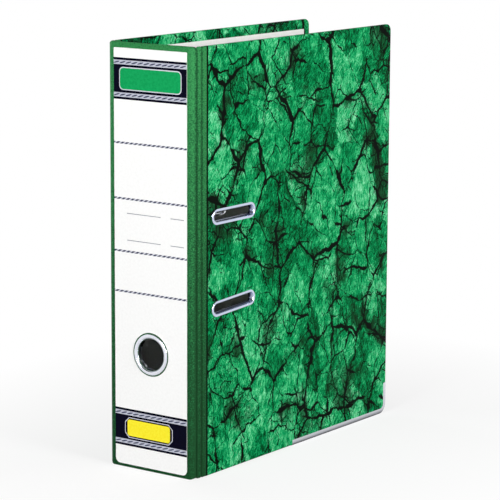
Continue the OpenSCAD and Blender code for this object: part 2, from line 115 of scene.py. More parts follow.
def add(
    tree: Tree,
    kind: str,
    sockets: dict[int | str, Any] | None = None,
    out: int | str = 0,
    stops: Sequence[tuple[float, str]] = (),
    **settings: Any,
) -> Socket | None:
    """Adds one node with its settings and links.

    Args:
        tree: Node tree that takes the node.
        kind: Node type, without its ShaderNode prefix.
        sockets: Inputs by name or number, each a socket to link or a value to set.
        out: Output to return, by name or number.
        stops: Places and colours of a colour ramp.
        **settings: The node's own properties.

    Returns:
        The chosen output socket, or None for a node that has none.
    """
    node = tree.nodes.new(f"ShaderNode{kind}")
    for name, value in settings.items():
        setattr(node, name, value)
    for key, value in (sockets or {}).items():
        if isinstance(value, Socket):
            tree.links.new(value, node.inputs[key])
        else:
            node.inputs[key].default_value = value
    for index, (place, code) in enumerate(stops):
        elements = node.color_ramp.elements
        stop = elements[index] if index < 2 else elements.new(place)
        stop.position = place
        stop.color = linear(code)
    return node.outputs[out] if node.outputs else None


# Finishes


@dataclass(frozen=True)
class Finish:
    """A finish with its own material, made once and shared by all pieces that have it."""

    name: str
    slot: str

    def material(self) -> bpy.types.Material:
        """Makes the finish's material on the first call.

        Returns:
            The material, the same one each time.
        """
        made = bpy.data.materials.get(self.name)
        if made is None:
            made = bpy.data.materials.new(self.name)
            made.use_nodes = True
            made.node_tree.nodes.clear()
            add(made.node_tree, "OutputMaterial", {"Surface": self.surface(made.node_tree)})
        return made

    def surface(self, tree: Tree) -> Socket:
        """Adds the finish's nodes to a tree and returns its shader."""
        raise NotImplementedError


@dataclass(frozen=True)
class Flecked(Finish):
    """Paper, ink, board or plastic: one colour with fine flecks of a second one."""

    code: str
    fleck_code: str
    # Size of the flecks in millimetres, and the levels of noise from fleck to plain colour
    fleck: float = 2.2
    levels: tuple[float, float] = (0.35, 0.6)
    roughness: float = 0.6
    specular: float = 0.2
    relief: float = 0.05
    relief_depth: float = 0.15

    def surface(self, tree: Tree) -> Socket:
        """Adds the flecks.

        Args:
            tree: Node tree of the material.

        Returns:
            The shader.
        """
        place = add(tree, "TexCoord", out="Object")
        spots = {"Vector": place, "Scale": 1 / (self.fleck * MM), "Detail": 5.0, "Roughness": 0.7}
        flecks = add(tree, "TexNoise", spots)
        low, high = self.levels
        colour = add(tree, "ValToRGB", {"Fac": flecks}, stops=((low, self.fleck_code), (high, self.code)))
        fibres = {"Height": flecks, "Strength": self.relief, "Distance": self.relief_depth * MM}
        look = {"Base Color": colour, "Roughness": self.roughness, "Specular IOR Level": self.specular}
        return add(tree, "BsdfPrincipled", {**look, "Normal": add(tree, "Bump", fibres, out="Normal")})


@dataclass(frozen=True)
class Cracks:
    """One layer of cracks: cells and greatest width in millimetres, rarity, lean in degrees and stretch."""

    cell: float
    width: float
    rare: float
    lean: float
    stretch: float


@dataclass(frozen=True)
class MarbledPaper(Finish):
    """Coated paper printed with cracked green stone, which shows a flat print and hardly any shine.

    Sizes of the pattern are in millimetres, and the place of the sheet's edge is in metres.
    """

    edge_x: float
    main: Cracks = Cracks(60.0, 4.6, 0.28, 38.0, 1.15)
    branch: Cracks = Cracks(31.0, 2.1, 0.29, -40.0, 1.15)
    fine: Cracks = Cracks(14.5, 1.2, 0.36, 62.0, 1.2)
    hair: Cracks = Cracks(5.5, 0.9, 0.46, -15.0, 1.2)
    # Softness of the cracks' edges, spots per cell in which they swell, and the noise from none to full width
    soft: float = 0.22
    swell_spots: float = 1.7
    swell: float = 0.35
    # Each shake of the pattern: its size and its reach
    wander: tuple[tuple[float, float], ...] = ((62.0, 13.0), (8.0, 1.8), (2.2, 0.7))
    # Size of the patches in which the stone is crushed
    crush: float = 60.0
    # Height of the plates against their width, and how fast the print runs on over the sheet's edges
    tall: float = 1.2
    edge_run: tuple[float, float] = (3.7, 1.3)
    # Width and length of the streaks, and the greatest turn of a plate's streaks in radians
    streak: tuple[float, float] = (0.8, 6.5)
    streak_turn: float = 1.0
    mottle: float = 11.0
    speck: float = 1.5
    shadow: float = 34.0
    # Tone of bare stone, and the shares that streaks, specks, mottling and the plate's chance add to it
    bare_tone: float = 0.133
    shares: tuple[float, float, float, float] = (0.13, 0.06, 0.44, 0.16)
    # Dark line along the edge beside the spine, and its softness
    edge_line: float = 2.2
    edge_soft: float = 0.3
    crack_code: str = "#030A05"
    shadow_code: str = "#12351C"
    stops: tuple[tuple[float, str], ...] = (
        (0.37, "#012A12"),
        (0.42, "#004A24"),
        (0.46, "#006637"),
        (0.505, "#018349"),
        (0.55, "#0B9E5B"),
        (0.60, "#33B974"),
        (0.66, "#70D099"),
        (0.74, "#A0E2B8"),
    )
    roughness: float = 0.5
    specular: float = 0.02
    relief: float = 0.04
    relief_depth: float = 0.2

    def shaken(self, tree: Tree, vector: Socket) -> Socket:
        """Shakes a pattern's coordinates so that its lines wander and their edges are ragged.

        Args:
            tree: Node tree of the material.
            vector: Flat coordinates in metres.

        Returns:
            The shaken coordinates.
        """
        for size, reach in self.wander:
            shake = {"Vector": vector, "Scale": 1 / (size * MM), "Detail": 3.0, "Roughness": 0.6}
            noise = add(tree, "TexNoise", shake, out="Color", noise_dimensions="2D")
            centred = add(tree, "VectorMath", {0: noise, 1: (0.5, 0.5, 0.5)}, operation="SUBTRACT")
            reaches = (2 * reach * MM,) * 3
            vector = add(tree, "VectorMath", {0: centred, 1: reaches, 2: vector}, operation="MULTIPLY_ADD")
        return vector

    def drawn(self, tree: Tree, vector: Socket, layer: Cracks, near: Socket | float) -> tuple[Socket, Socket]:
        """Draws a layer of cracks between cells, which swell, thin out and stop.

        Args:
            tree: Node tree of the material.
            vector: Flat coordinates in metres.
            layer: Sizes of the cracks.
            near: Added to the noise that lets cracks show, so that they gather in places.

        Returns:
            The cracks' mask, and the distance to the nearest edge in cells.
        """
        scale, soft = 1 / (layer.cell * MM), self.soft / layer.cell
        lean = {"Vector": vector, "Angle": math.radians(layer.lean)}
        vector = add(tree, "VectorRotate", lean, rotation_type="Z_AXIS")
        scales = (layer.stretch, 1 / layer.stretch, 0.0)
        vector = add(tree, "VectorMath", {0: vector, 1: scales}, operation="MULTIPLY")
        cells = {"Vector": vector, "Scale": scale}
        edge = add(tree, "TexVoronoi", cells, out="Distance", feature="DISTANCE_TO_EDGE", voronoi_dimensions="2D")
        spots = {"Vector": vector, "Scale": self.swell_spots * scale, "Detail": 3.0, "Roughness": 0.65}
        swell = add(tree, "TexNoise", spots, noise_dimensions="2D")
        swell = add(tree, "Math", {0: swell, 1: near}, operation="ADD")
        limits = {"From Min": layer.rare, "From Max": layer.rare + self.swell}
        limits |= {"To Min": -soft, "To Max": layer.width / layer.cell / 2}
        half = add(tree, "MapRange", {"Value": swell, **limits})
        gap = add(tree, "Math", {0: edge, 1: half}, operation="SUBTRACT")
        limits = {"From Min": -soft, "From Max": soft, "To Min": 1.0, "To Max": 0.0}
        return add(tree, "MapRange", {"Value": gap, **limits}), edge

    def tone(self, tree: Tree, calm: Socket, vector: Socket) -> tuple[Socket, Socket]:
        """Gives each plate of stone its own tone and streaks.

        Args:
            tree: Node tree of the material.
            calm: Flat coordinates in metres.
            vector: The same, shaken.

        Returns:
            The tone, about 0.5, and the mottling in it.
        """
        cells = {"Vector": vector, "Scale": 1 / (self.branch.cell * MM)}
        plate = add(tree, "TexVoronoi", cells, out="Color", feature="F1", voronoi_dimensions="2D")
        chance = add(tree, "SeparateXYZ", {0: plate}).node.outputs
        turn = add(tree, "Math", {0: chance["X"], 1: self.streak_turn}, operation="MULTIPLY")
        turned_plate = add(tree, "VectorRotate", {"Vector": calm, "Angle": turn}, rotation_type="Z_AXIS")
        scales = (*(1 / (size * MM) for size in self.streak), 0.0)
        stretched = add(tree, "VectorMath", {0: turned_plate, 1: scales}, operation="MULTIPLY")
        # Coordinates, scale, detail and roughness of the streaks, the specks and the mottling
        kinds = (
            (stretched, 1.0, 3.0, 0.6),
            (vector, 1 / (self.speck * MM), 2.0, 0.6),
            (vector, 1 / (self.mottle * MM), 8.0, 0.72),
        )
        noises = []
        for spot, scale, detail, rough in kinds:
            sockets = {"Vector": spot, "Scale": scale, "Detail": detail, "Roughness": rough}
            noises.append(add(tree, "TexNoise", sockets, noise_dimensions="2D"))
        *grains, mottle = noises
        crisp = {"From Min": 0.42, "From Max": 0.6}
        grains = [add(tree, "MapRange", {"Value": grain, **crisp}) for grain in grains]
        tone = self.bare_tone
        for grain, share in zip((*grains, mottle, chance["Y"]), self.shares):
            tone = add(tree, "Math", {0: grain, 1: share, 2: tone}, operation="MULTIPLY_ADD")
        return tone, mottle

    def surface(self, tree: Tree) -> Socket:
        """Adds the marbled print.

        Args:
            tree: Node tree of the material.

        Returns:
            The shader.
        """
        place = add(tree, "TexCoord", out="Object")
        # The sheet's edges continue the print of its faces
        directions = (self.tall, self.edge_run[0], 0.0), (0.0, self.edge_run[1], 1.0)
        across, height = (
            add(tree, "VectorMath", {0: place, 1: d}, out="Value", operation="DOT_PRODUCT") for d in directions
        )
        calm = add(tree, "CombineXYZ", {"X": across, "Y": height})
        flat = self.shaken(tree, calm)
        tone, mottle = self.tone(tree, calm, flat)
        colour = add(tree, "ValToRGB", {"Fac": tone}, stops=self.stops)

        # Finer cracks gather beside the main ones and where the stone is crushed
        dark, edge = self.drawn(tree, flat, self.main, 0.0)
        beside = {"From Min": 0.0, "From Max": 0.22, "To Min": 0.14, "To Max": -0.03}
        near = add(tree, "MapRange", {"Value": edge, **beside})
        patches = {"Vector": calm, "Scale": 1 / (self.crush * MM), "Detail": 2.0, "Roughness": 0.5}
        crush = add(tree, "TexNoise", patches, noise_dimensions="2D")
        crushed = {"From Min": 0.48, "From Max": 0.64, "To Min": -0.04, "To Max": 0.17}
        crush = add(tree, "MapRange", {"Value": crush, **crushed})
        near = add(tree, "Math", {0: near, 1: crush}, operation="ADD")
        for layer in (self.branch, self.fine, self.hair):
            mask, _ = self.drawn(tree, flat, layer, near)
            dark = add(tree, "Math", {0: dark, 1: mask}, operation="MAXIMUM")
        clouds = {"Vector": flat, "Scale": 1 / (self.shadow * MM), "Detail": 6.0, "Roughness": 0.7}
        shadow = add(tree, "TexNoise", clouds, noise_dimensions="2D")
        shadow = add(tree, "Math", {0: shadow, 1: near}, operation="ADD")
        shaded = {"From Min": 0.62, "From Max": 0.82, "To Min": 0.0, "To Max": 0.9}
        shadow = add(tree, "MapRange", {"Value": shadow, **shaded})
        colour = add(tree, "Mix", {0: shadow, 6: colour, 7: linear(self.shadow_code)}, out=2, data_type="RGBA")

        start = self.edge_x + self.edge_line * MM
        limits = {"From Min": start - self.edge_soft * MM, "From Max": start, "To Min": 1.0, "To Max": 0.0}
        border = add(tree, "MapRange", {"Value": add(tree, "SeparateXYZ", {0: place}, out="X"), **limits})
        dark = add(tree, "Math", {0: dark, 1: border}, operation="MAXIMUM")
        colour = add(tree, "Mix", {0: dark, 6: colour, 7: linear(self.crack_code)}, out=2, data_type="RGBA")
        skin = {"Height": mottle, "Strength": self.relief, "Distance": self.relief_depth * MM}
        look = {"Base Color": colour, "Roughness": self.roughness, "Specular IOR Level": self.specular}
        return add(tree, "BsdfPrincipled", {**look, "Normal": add(tree, "Bump", skin, out="Normal")})


@dataclass(frozen=True)
class BookCloth(Finish):
    """Starched cotton book cloth, which shows crossed threads; its colour is painted paler towards the top and darker
    towards the foot, painted light that stands for light falling from above.
    """

    # Colours at the foot, the middle and the top: painted light, darker at the foot and paler at the top as light from
    # above falls
    foot_code: str
    middle_code: str
    top_code: str
    foot_z: float = 0.0
    top_z: float = 1.0
    # Places of the creases, along which shade is painted, width of the painted shade in millimetres and its depth of
    # tone
    creases: tuple[float, ...] = ()
    crease_shade: float = 2.2
    crease_shade_tone: float = 0.6
    # Real threads are under half as thick; they are drawn coarser so that they show
    thread: float = 0.9
    thread_tone: float = 0.16
    grain: float = 1.1
    grain_tone: float = 0.8
    roughness: float = 0.8
    specular: float = 0.1
    relief: float = 0.4
    relief_depth: float = 0.15

    def surface(self, tree: Tree) -> Socket:
        """Adds the cloth's threads, the painted light that makes it paler towards the top, and the painted shade along
        its creases.

        Args:
            tree: Node tree of the material.

        Returns:
            The shader.
        """
        place = add(tree, "TexCoord", out="Object")
        spots = add(tree, "SeparateXYZ", {0: place}).node.outputs
        width, height = spots["X"], spots["Z"]
        across = add(tree, "VectorMath", {0: place, 1: (1.0, 1.0, 0.0)}, out="Value", operation="DOT_PRODUCT")
        waves = []
        for run in (across, height):
            turn = add(tree, "Math", {0: run, 1: FULL_TURN / (self.thread * MM)}, operation="MULTIPLY")
            waves.append(add(tree, "Math", {0: turn}, operation="SINE"))
        weave = add(tree, "Math", dict(enumerate(waves)), operation="MULTIPLY")
        flecks = {"Vector": place, "Scale": 1 / (self.grain * MM), "Detail": 3.0, "Roughness": 0.7}
        grain = add(tree, "TexNoise", flecks)
        # Painted light: the tone rises from the foot to the top, so that the cloth looks lit from above
        painted_light_rise = add(tree, "MapRange", {"Value": height, "From Min": self.foot_z, "From Max": self.top_z})
        tone = add(tree, "Math", {0: weave, 1: self.thread_tone, 2: painted_light_rise}, operation="MULTIPLY_ADD")
        limits = {"From Min": 0.25, "From Max": 0.75, "To Min": -self.grain_tone, "To Max": self.grain_tone}
        tone = add(tree, "Math", {0: tone, 1: add(tree, "MapRange", {"Value": grain, **limits})}, operation="ADD")
        # Painted shade: the cloth darkens on both sides of each crease, where shade falls in the groove
        for crease in self.creases:
            away = add(tree, "Math", {0: width, 1: crease}, operation="SUBTRACT")
            away = add(tree, "Math", {0: away}, operation="ABSOLUTE")
            limits = {"From Min": 0.0, "From Max": self.crease_shade * MM, "To Min": self.crease_shade_tone, "To Max": 0.0}
            crease_shade = add(tree, "MapRange", {"Value": away, **limits}, interpolation_type="SMOOTHSTEP")
            tone = add(tree, "Math", {0: tone, 1: crease_shade}, operation="SUBTRACT")
        stops = ((0.0, self.foot_code), (1.0, self.top_code), (0.5, self.middle_code))
        colour = add(tree, "ValToRGB", {"Fac": tone}, stops=stops)
        relief = add(tree, "Math", {0: weave, 1: 0.5, 2: grain}, operation="MULTIPLY_ADD")
        threads = {"Height": relief, "Strength": self.relief, "Distance": self.relief_depth * MM}
        look = {"Base Color": colour, "Roughness": self.roughness, "Specular IOR Level": self.specular}
        return add(tree, "BsdfPrincipled", {**look, "Normal": add(tree, "Bump", threads, out="Normal")})


@dataclass(frozen=True)
class RopeInk(Finish):
    """Ink printed as a fine twisted line, which shows dark and pale strands by turns."""

    pale_code: str
    dark_code: str
    # Length of a strand in millimetres, its slope, and the share of it that turns pale
    strand: float = 4.6
    slant: float = 1.6
    pale: float = 0.6
    roughness: float = 0.5
    specular: float = 0.1

    def surface(self, tree: Tree) -> Socket:
        """Adds the slanting strands.

        Args:
            tree: Node tree of the material.

        Returns:
            The shader.
        """
        place = add(tree, "TexCoord", out="Object")
        slope = (0.0, 1.0, self.slant)
        along = add(tree, "VectorMath", {0: place, 1: slope}, out="Value", operation="DOT_PRODUCT")
        turn = add(tree, "Math", {0: along, 1: FULL_TURN / (self.strand * MM)}, operation="MULTIPLY")
        wave = add(tree, "Math", {0: turn}, operation="SINE")
        colour = add(tree, "ValToRGB", {"Fac": wave}, stops=((0.0, self.dark_code), (self.pale, self.pale_code)))
        look = {"Base Color": colour, "Roughness": self.roughness, "Specular IOR Level": self.specular}
        return add(tree, "BsdfPrincipled", look)


@dataclass(frozen=True)
class NickelPlate(Finish):
    """Bright nickel plate on pressed steel, which shows clear reflections and slight waves."""

    code: str = "#E6E9F2"
    # Size of the waves and of the rubbed spots in millimetres
    wave: float = 9.0
    rub: float = 1.2
    roughness: tuple[float, float] = (0.07, 0.16)
    relief: float = 0.08
    relief_depth: float = 0.4
    # Colour of painted shade that darkens the plate deeper in a hollow, and the places along y between which it gets
    # so
    shade_code: str = ""
    shade_y: tuple[float, float] = (0.0, 0.0)

    def surface(self, tree: Tree) -> Socket:
        """Adds the plate's uneven polish, and painted shade where a shade colour is given.

        Args:
            tree: Node tree of the material.

        Returns:
            The shader.
        """
        place = add(tree, "TexCoord", out="Object")
        waves = add(tree, "TexNoise", {"Vector": place, "Scale": 1 / (self.wave * MM), "Detail": 2.0})
        spots = {"Vector": place, "Scale": 1 / (self.rub * MM), "Detail": 3.0, "Roughness": 0.7}
        low, high = self.roughness
        limits = {"From Min": 0.3, "From Max": 0.7, "To Min": low, "To Max": high}
        rough = add(tree, "MapRange", {"Value": add(tree, "TexNoise", spots), **limits})
        colour = linear(self.code)
        # Painted shade: the plate darkens along y from the rim down into the hollow, where shade falls
        if self.shade_code:
            limits = {"From Min": self.shade_y[0], "From Max": self.shade_y[1]}
            slot_shade = add(tree, "MapRange", {"Value": add(tree, "SeparateXYZ", {0: place}, out="Y"), **limits})
            colour = add(tree, "Mix", {0: slot_shade, 6: colour, 7: linear(self.shade_code)}, out=2, data_type="RGBA")
        polish = {"Height": waves, "Strength": self.relief, "Distance": self.relief_depth * MM}
        look = {"Base Color": colour, "Metallic": 1.0, "Roughness": rough}
        return add(tree, "BsdfPrincipled", {**look, "Normal": add(tree, "Bump", polish, out="Normal")})


# The paper laps over the cloth by this much
PAPER_LAP = 2.6 * MM
PAPER_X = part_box("front_cover_paper")[0].x - PAPER_LAP
FACE_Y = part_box("front_cover_paper")[0].y
SPINE_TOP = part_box("spine_cloth")[1].z
MARBLE = MarbledPaper("marbled_cover_paper", "marbled_paper", PAPER_X)
# Green cloth, painted darker at the foot and paler at the top as light from above falls, with painted shade along its
# creases
CLOTH = BookCloth(
    "green_book_cloth",
    "cloth",
    "#123D1F",
    "#1C5A32",
    "#33864B",
    top_z=SPINE_TOP,
    creases=tuple(JOINTS[name]["pos_m"][0] for name in ("front_rib_fold", "front_cover_fold")),
)
# Cloth pressed into a crease, in a darker copy of the cloth that is painted shade for the groove
SHADED_CREASE_CLOTH = BookCloth("creased_book_cloth", "cloth", "#0F3319", "#174A29", "#256539", top_z=SPINE_TOP)
# Calendered papers, which show only faint fibres
LINING = Flecked("white_lining_paper", "lining_paper", "#F3F3F0", "#EBEBE8", specular=0.02, relief=0.02)
LABEL = Flecked("white_label_paper", "label_paper", "#FCFCFB", "#F7F7F6")
# Inks that lie flat on the label and dull its fibres
BLACK_INK = Flecked("black_label_ink", "label_paper", "#05051A", "#03030F", specular=0.03)
SILVER_INK = Flecked("silver_label_ink", "label_paper", "#C6C9D6", "#AFB2C2", fleck=1.0, specular=0.1)
SLATE_INK = Flecked("slate_label_ink", "label_paper", "#4C5068", "#3A3D52", specular=0.05)
RULE_INK = Flecked("grey_rule_ink", "label_paper", "#77788A", "#5E5F6E", specular=0.1)
YELLOW_INK = Flecked("yellow_label_ink", "label_paper", "#FFF13A", "#FBE825", specular=0.05)
GREEN_INK = Flecked("green_label_ink", "label_paper", "#14A45C", "#0C9550", specular=0.05)
PALE_INK = Flecked("pale_outline_ink", "label_paper", "#D9DBE6", "#C6C8D4", specular=0.1)
ROPE_INK = RopeInk("grey_rope_ink", "label_paper", "#D4D6DE", "#3C3F58")
NICKEL = NickelPlate("bright_nickel_plate", "nickel")
# Rolled strip with a satin skin, which spreads its reflections
SATIN_NICKEL = NickelPlate("satin_nickel_strip", "nickel", code="#E4E6EE", roughness=(0.14, 0.22))
# Nickel that is bright on the rim and painted dark down the slot: painted shade and dark reflections where the slot
# lies in shade
EYELET_NICKEL = NickelPlate(
    "rubbed_nickel_eyelet",
    "nickel",
    code="#CDD6EC",
    shade_code="#1C2338",
    shade_y=(FACE_Y - 0.3 * MM, FACE_Y + 2.6 * MM),
)
# Recycled board, which shows flecks of old print
BOARD = Flecked("recycled_grey_board", "board", "#938C82", "#5F5A54", 1.6, (0.32, 0.55), 0.9, 0.1, 0.3)
# Moulded nylon, which shows a soft satin grain
NYLON = Flecked("black_moulded_nylon", "nylon", "#2A2A2D", "#1B1B1D", 0.7, (0.4, 0.7), 0.45, 0.5, 0.2)


# Bench tools


class Part(Enum):
    """Kinds of mesh element that can be picked."""

    VERT = "verts"
    EDGE = "edges"
    FACE = "faces"


def clear_bench() -> None:
    """Leaves edit mode with nothing selected."""
    if bpy.context.object and bpy.context.object.mode == "EDIT":
        bpy.ops.object.mode_set(mode="OBJECT")
    bpy.ops.object.select_all(action="DESELECT")


class Bench:
    """One mesh piece on the bench, shaped with operators in edit mode and finished in object mode."""

    def __init__(self, name: str, points: Sequence[Vector], step: Vector | None = None) -> None:
        """Draws a line by pulling a point along its corners, and may make it a slab.

        Args:
            name: Name of the piece.
            points: Corners of the line, in order, in the frame.
            step: If given, the line is closed and filled, and the face pulled this far.
        """
        clear_bench()
        bpy.ops.mesh.primitive_plane_add(size=MM, location=points[0])
        self.obj: bpy.types.Object = bpy.context.object
        self.obj.name = self.obj.data.name = name
        bpy.ops.object.mode_set(mode="EDIT")
        bpy.ops.mesh.select_mode(type="VERT")
        bpy.ops.mesh.select_all(action="SELECT")
        bpy.ops.mesh.merge(type="CENTER")
        for start, end in zip(points, points[1:]):
            self.pull(end - start)
        bpy.ops.mesh.select_all(action="SELECT")
        if step:
            bpy.ops.mesh.edge_face_add()
            self.pull(step)
            self.tidy()

    @staticmethod
    def pull(step: Vector) -> None:
        """Extrudes what is picked by a step."""
        bpy.ops.mesh.extrude_region_move(TRANSFORM_OT_translate={"value": step})

    @staticmethod
    def tidy() -> None:
        """Merges doubles and points all faces outwards."""
        bpy.ops.mesh.select_mode(type="VERT")
        bpy.ops.mesh.select_all(action="SELECT")
        bpy.ops.mesh.remove_doubles(threshold=MERGE)
        bpy.ops.mesh.normals_make_consistent(inside=False)

    def pick(self, part: Part, test: Callable[[Any, list[Vector]], bool]) -> None:
        """Selects the elements that pass a test, and nothing else.

        Args:
            part: Kind of element.
            test: Takes an element and its corners in the frame, and says if it is picked.
        """
        bpy.ops.mesh.select_mode(type=part.name)
        bpy.ops.mesh.select_all(action="DESELECT")
        mesh = bmesh.from_edit_mesh(self.obj.data)
        matrix = self.obj.matrix_world
        for element in getattr(mesh, part.value):
            corners = [element] if part is Part.VERT else element.verts
            if test(element, [matrix @ vert.co for vert in corners]):
                element.select_set(True)
        mesh.select_flush_mode()
        bmesh.update_edit_mesh(self.obj.data)

    def soften(
        self,
        width: float,
        segments: int = 3,
        keep: Callable[[list[Vector]], bool] = lambda ends: True,
        sharp: float = 40.0,
    ) -> "Bench":
        """Rounds the piece's sharp edges.

        Args:
            width: Width of the rounding.
            segments: Its number of faces.
            keep: Takes an edge's ends and says if it is rounded.
            sharp: Least angle of a sharp edge, in degrees.

        Returns:
            The piece, in edit mode.
        """
        self.edit()
        least = math.radians(sharp)
        self.pick(Part.EDGE, lambda edge, ends: edge.calc_face_angle(0.0) > least and keep(ends))
        bpy.ops.mesh.bevel(offset=width, segments=segments, affect="EDGES", clamp_overlap=True)
        return self

    def modify(self, kind: str, **settings: Any) -> None:
        """Adds a modifier and applies it.

        Args:
            kind: Modifier type.
            **settings: The modifier's properties.
        """
        self.alone()
        bpy.ops.object.modifier_add(type=kind)
        modifier = self.obj.modifiers[-1]
        for name, value in settings.items():
            setattr(modifier, name, value)
        bpy.ops.object.modifier_apply(modifier=modifier.name)

    def cut(self, tool: "Bench") -> "Bench":
        """Cuts the piece with another one, which is used up.

        Args:
            tool: The other piece.

        Returns:
            The piece, in object mode.
        """
        tool.done(smooth=None)
        self.done(smooth=None)
        self.modify("BOOLEAN", operation="DIFFERENCE", object=tool.obj, solver="EXACT")
        bpy.data.objects.remove(tool.obj)
        return self

    def wired(self, radius: float, steps: int = 6) -> "Bench":
        """Turns a drawn line into a round wire.

        Args:
            radius: Radius of the wire.
            steps: Faces in a quarter of its girth, less one.

        Returns:
            The piece, in edit mode.
        """
        self.done(smooth=None)
        bpy.ops.object.convert(target="CURVE")
        curve = self.obj.data
        curve.bevel_depth, curve.bevel_resolution, curve.use_fill_caps = radius, steps, True
        bpy.ops.object.convert(target="MESH")
        self.edit()
        self.tidy()
        return self

    def alone(self) -> None:
        """Leaves edit mode with only this piece selected and active."""
        clear_bench()
        self.obj.select_set(True)
        bpy.context.view_layer.objects.active = self.obj

    def edit(self) -> None:
        """Takes the piece into edit mode."""
        self.alone()
        bpy.ops.object.mode_set(mode="EDIT")

    def done(self, smooth: float | None = 35.0) -> bpy.types.Object:
        """Leaves the piece at the origin with its place in its mesh.

        Args:
            smooth: Angle in degrees below which faces are shaded as one, or None to leave them.

        Returns:
            The finished object.
        """
        self.alone()
        bpy.ops.object.transform_apply(location=True, rotation=True, scale=True)
        if smooth is not None:
            bpy.ops.object.shade_smooth_by_angle(angle=math.radians(smooth))
        return self.obj


def dress(obj: bpy.types.Object, finish: Finish) -> None:
    """Gives a piece one finish all over.

    Args:
        obj: The piece.
        finish: Its finish.
    """
    obj.data.materials.clear()
    obj.data.materials.append(finish.material())


def place(obj: bpy.types.Object, body: str, finish: Finish, nodes: Iterable[str] = ()) -> None:
    """Dresses a piece and lets it ride on its body.

    Args:
        obj: The finished piece.
        body: Body that it moves with.
        finish: Its finish.
        nodes: CAD nodes that it stands for.
    """
    dress(obj, finish)
    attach(obj, body)
    for node in nodes:
        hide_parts(node)
    LOG.info("%s rides on %s in %s", obj.name, body, finish.name)


def arc(centre: Sequence[float], radius: Sequence[float], start: float, end: float, steps: int) -> list[Vector]:
    """Returns points of an ellipse's arc from one angle in degrees to another, both ends included."""
    angles = [math.radians(start + (end - start) * i / steps) for i in range(steps + 1)]
    return [Vector((centre[0] + radius[0] * math.cos(a), centre[1] + radius[1] * math.sin(a))) for a in angles]


def rounded_box(low: Vector, high: Vector, radii: Sequence[float], steps: int = 6) -> list[Vector]:
    """Outline of a rectangle with round corners, or with chamfers if there is one step.

    Args:
        low: Lower left corner as two numbers.
        high: Upper right corner.
        radii: Corner radii: lower right, upper right, upper left and lower left.
        steps: Stretches in each corner.

    Returns:
        Points as pairs of numbers.
    """
    outline = []
    sides = ((high.x, low.y, -1, 1), (high.x, high.y, -1, -1), (low.x, high.y, 1, -1), (low.x, low.y, 1, 1))
    for index, ((x, y, to_x, to_y), r) in enumerate(zip(sides, radii)):
        centre = (x + to_x * r, y + to_y * r)
        outline += arc(centre, (r, r), 90 * (index - 1), 90 * index, steps) if r else [Vector((x, y))]
    return outline


def turned(
    name: str, section: Sequence[Sequence[float]], foot: Vector, axis: Vector, closed: bool = False, steps: int = 48
) -> Bench:
    """Turns a section round an axis.

    Args:
        name: Name of the piece.
        section: Pairs of distance along the axis and radius.
        foot: Point on the axis from which distances count.
        axis: Direction of the axis, of length 1.
        closed: True if the section is a loop that stays off the axis.
        steps: Number of faces round the axis.

    Returns:
        The piece, in edit mode.
    """
    side = axis.orthogonal().normalized()
    points = [foot + axis * along + side * radius for along, radius in section]
    piece = Bench(name, [*points, points[0]] if closed else points)
    bpy.ops.mesh.spin(steps=steps, angle=FULL_TURN, center=foot, axis=axis)
    piece.tidy()
    return piece


def bent(corners: Sequence[tuple[Vector, float]], steps: int = 8) -> list[Vector]:
    """Rounds the corners of a wire's path.

    Args:
        corners: Points of the path, each with the radius of its bend or 0.
        steps: Stretches in each bend.

    Returns:
        Points of the rounded path.
    """
    path = [corners[0][0]]
    for (before, _), (corner, radius), (after, _) in zip(corners, corners[1:], corners[2:]):
        back, ahead = (before - corner).normalized(), (after - corner).normalized()
        half = back.angle(ahead) / 2
        if not radius:
            path.append(corner)
            continue
        centre = corner + (back + ahead).normalized() * (radius / math.sin(half))
        start = corner + back * (radius / math.tan(half)) - centre
        axis = back.cross(ahead)
        turn = -(math.pi - 2 * half)
        path += [centre + Matrix.Rotation(turn * i / steps, 3, axis) @ start for i in range(steps + 1)]
    return [*path, corners[-1][0]]


def boxed(node: str, end: int) -> Any:
    """Makes a dataclass field that holds a CAD node's lowest corner, end 0, or its highest one, end 1."""
    return field(default_factory=lambda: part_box(node)[end])


def mirrored(obj: bpy.types.Object, name: str) -> bpy.types.Object:
    """Copies a front piece as its mirror image for the back.

    Args:
        obj: The front piece, at the origin.
        name: Name of the copy.

    Returns:
        The copy, with its own mesh.
    """
    clear_bench()
    copy = obj.copy()
    copy.data = obj.data.copy()
    copy.name = copy.data.name = name
    bpy.context.collection.objects.link(copy)
    copy.data.transform(Matrix.Scale(-1, 4, INWARD))
    copy.data.flip_normals()
    return copy


def place_pair(obj: bpy.types.Object, body: str, finish: Finish, node: str) -> None:
    """Places a front piece and its mirror image at the back, given their body and CAD node without the side."""
    copy = mirrored(obj, obj.name.replace("front", "back"))
    for piece, side in ((copy, "back"), (obj, "front")):
        place(piece, f"{side}_{body}", finish, [f"{side}_{node}"])


# Case


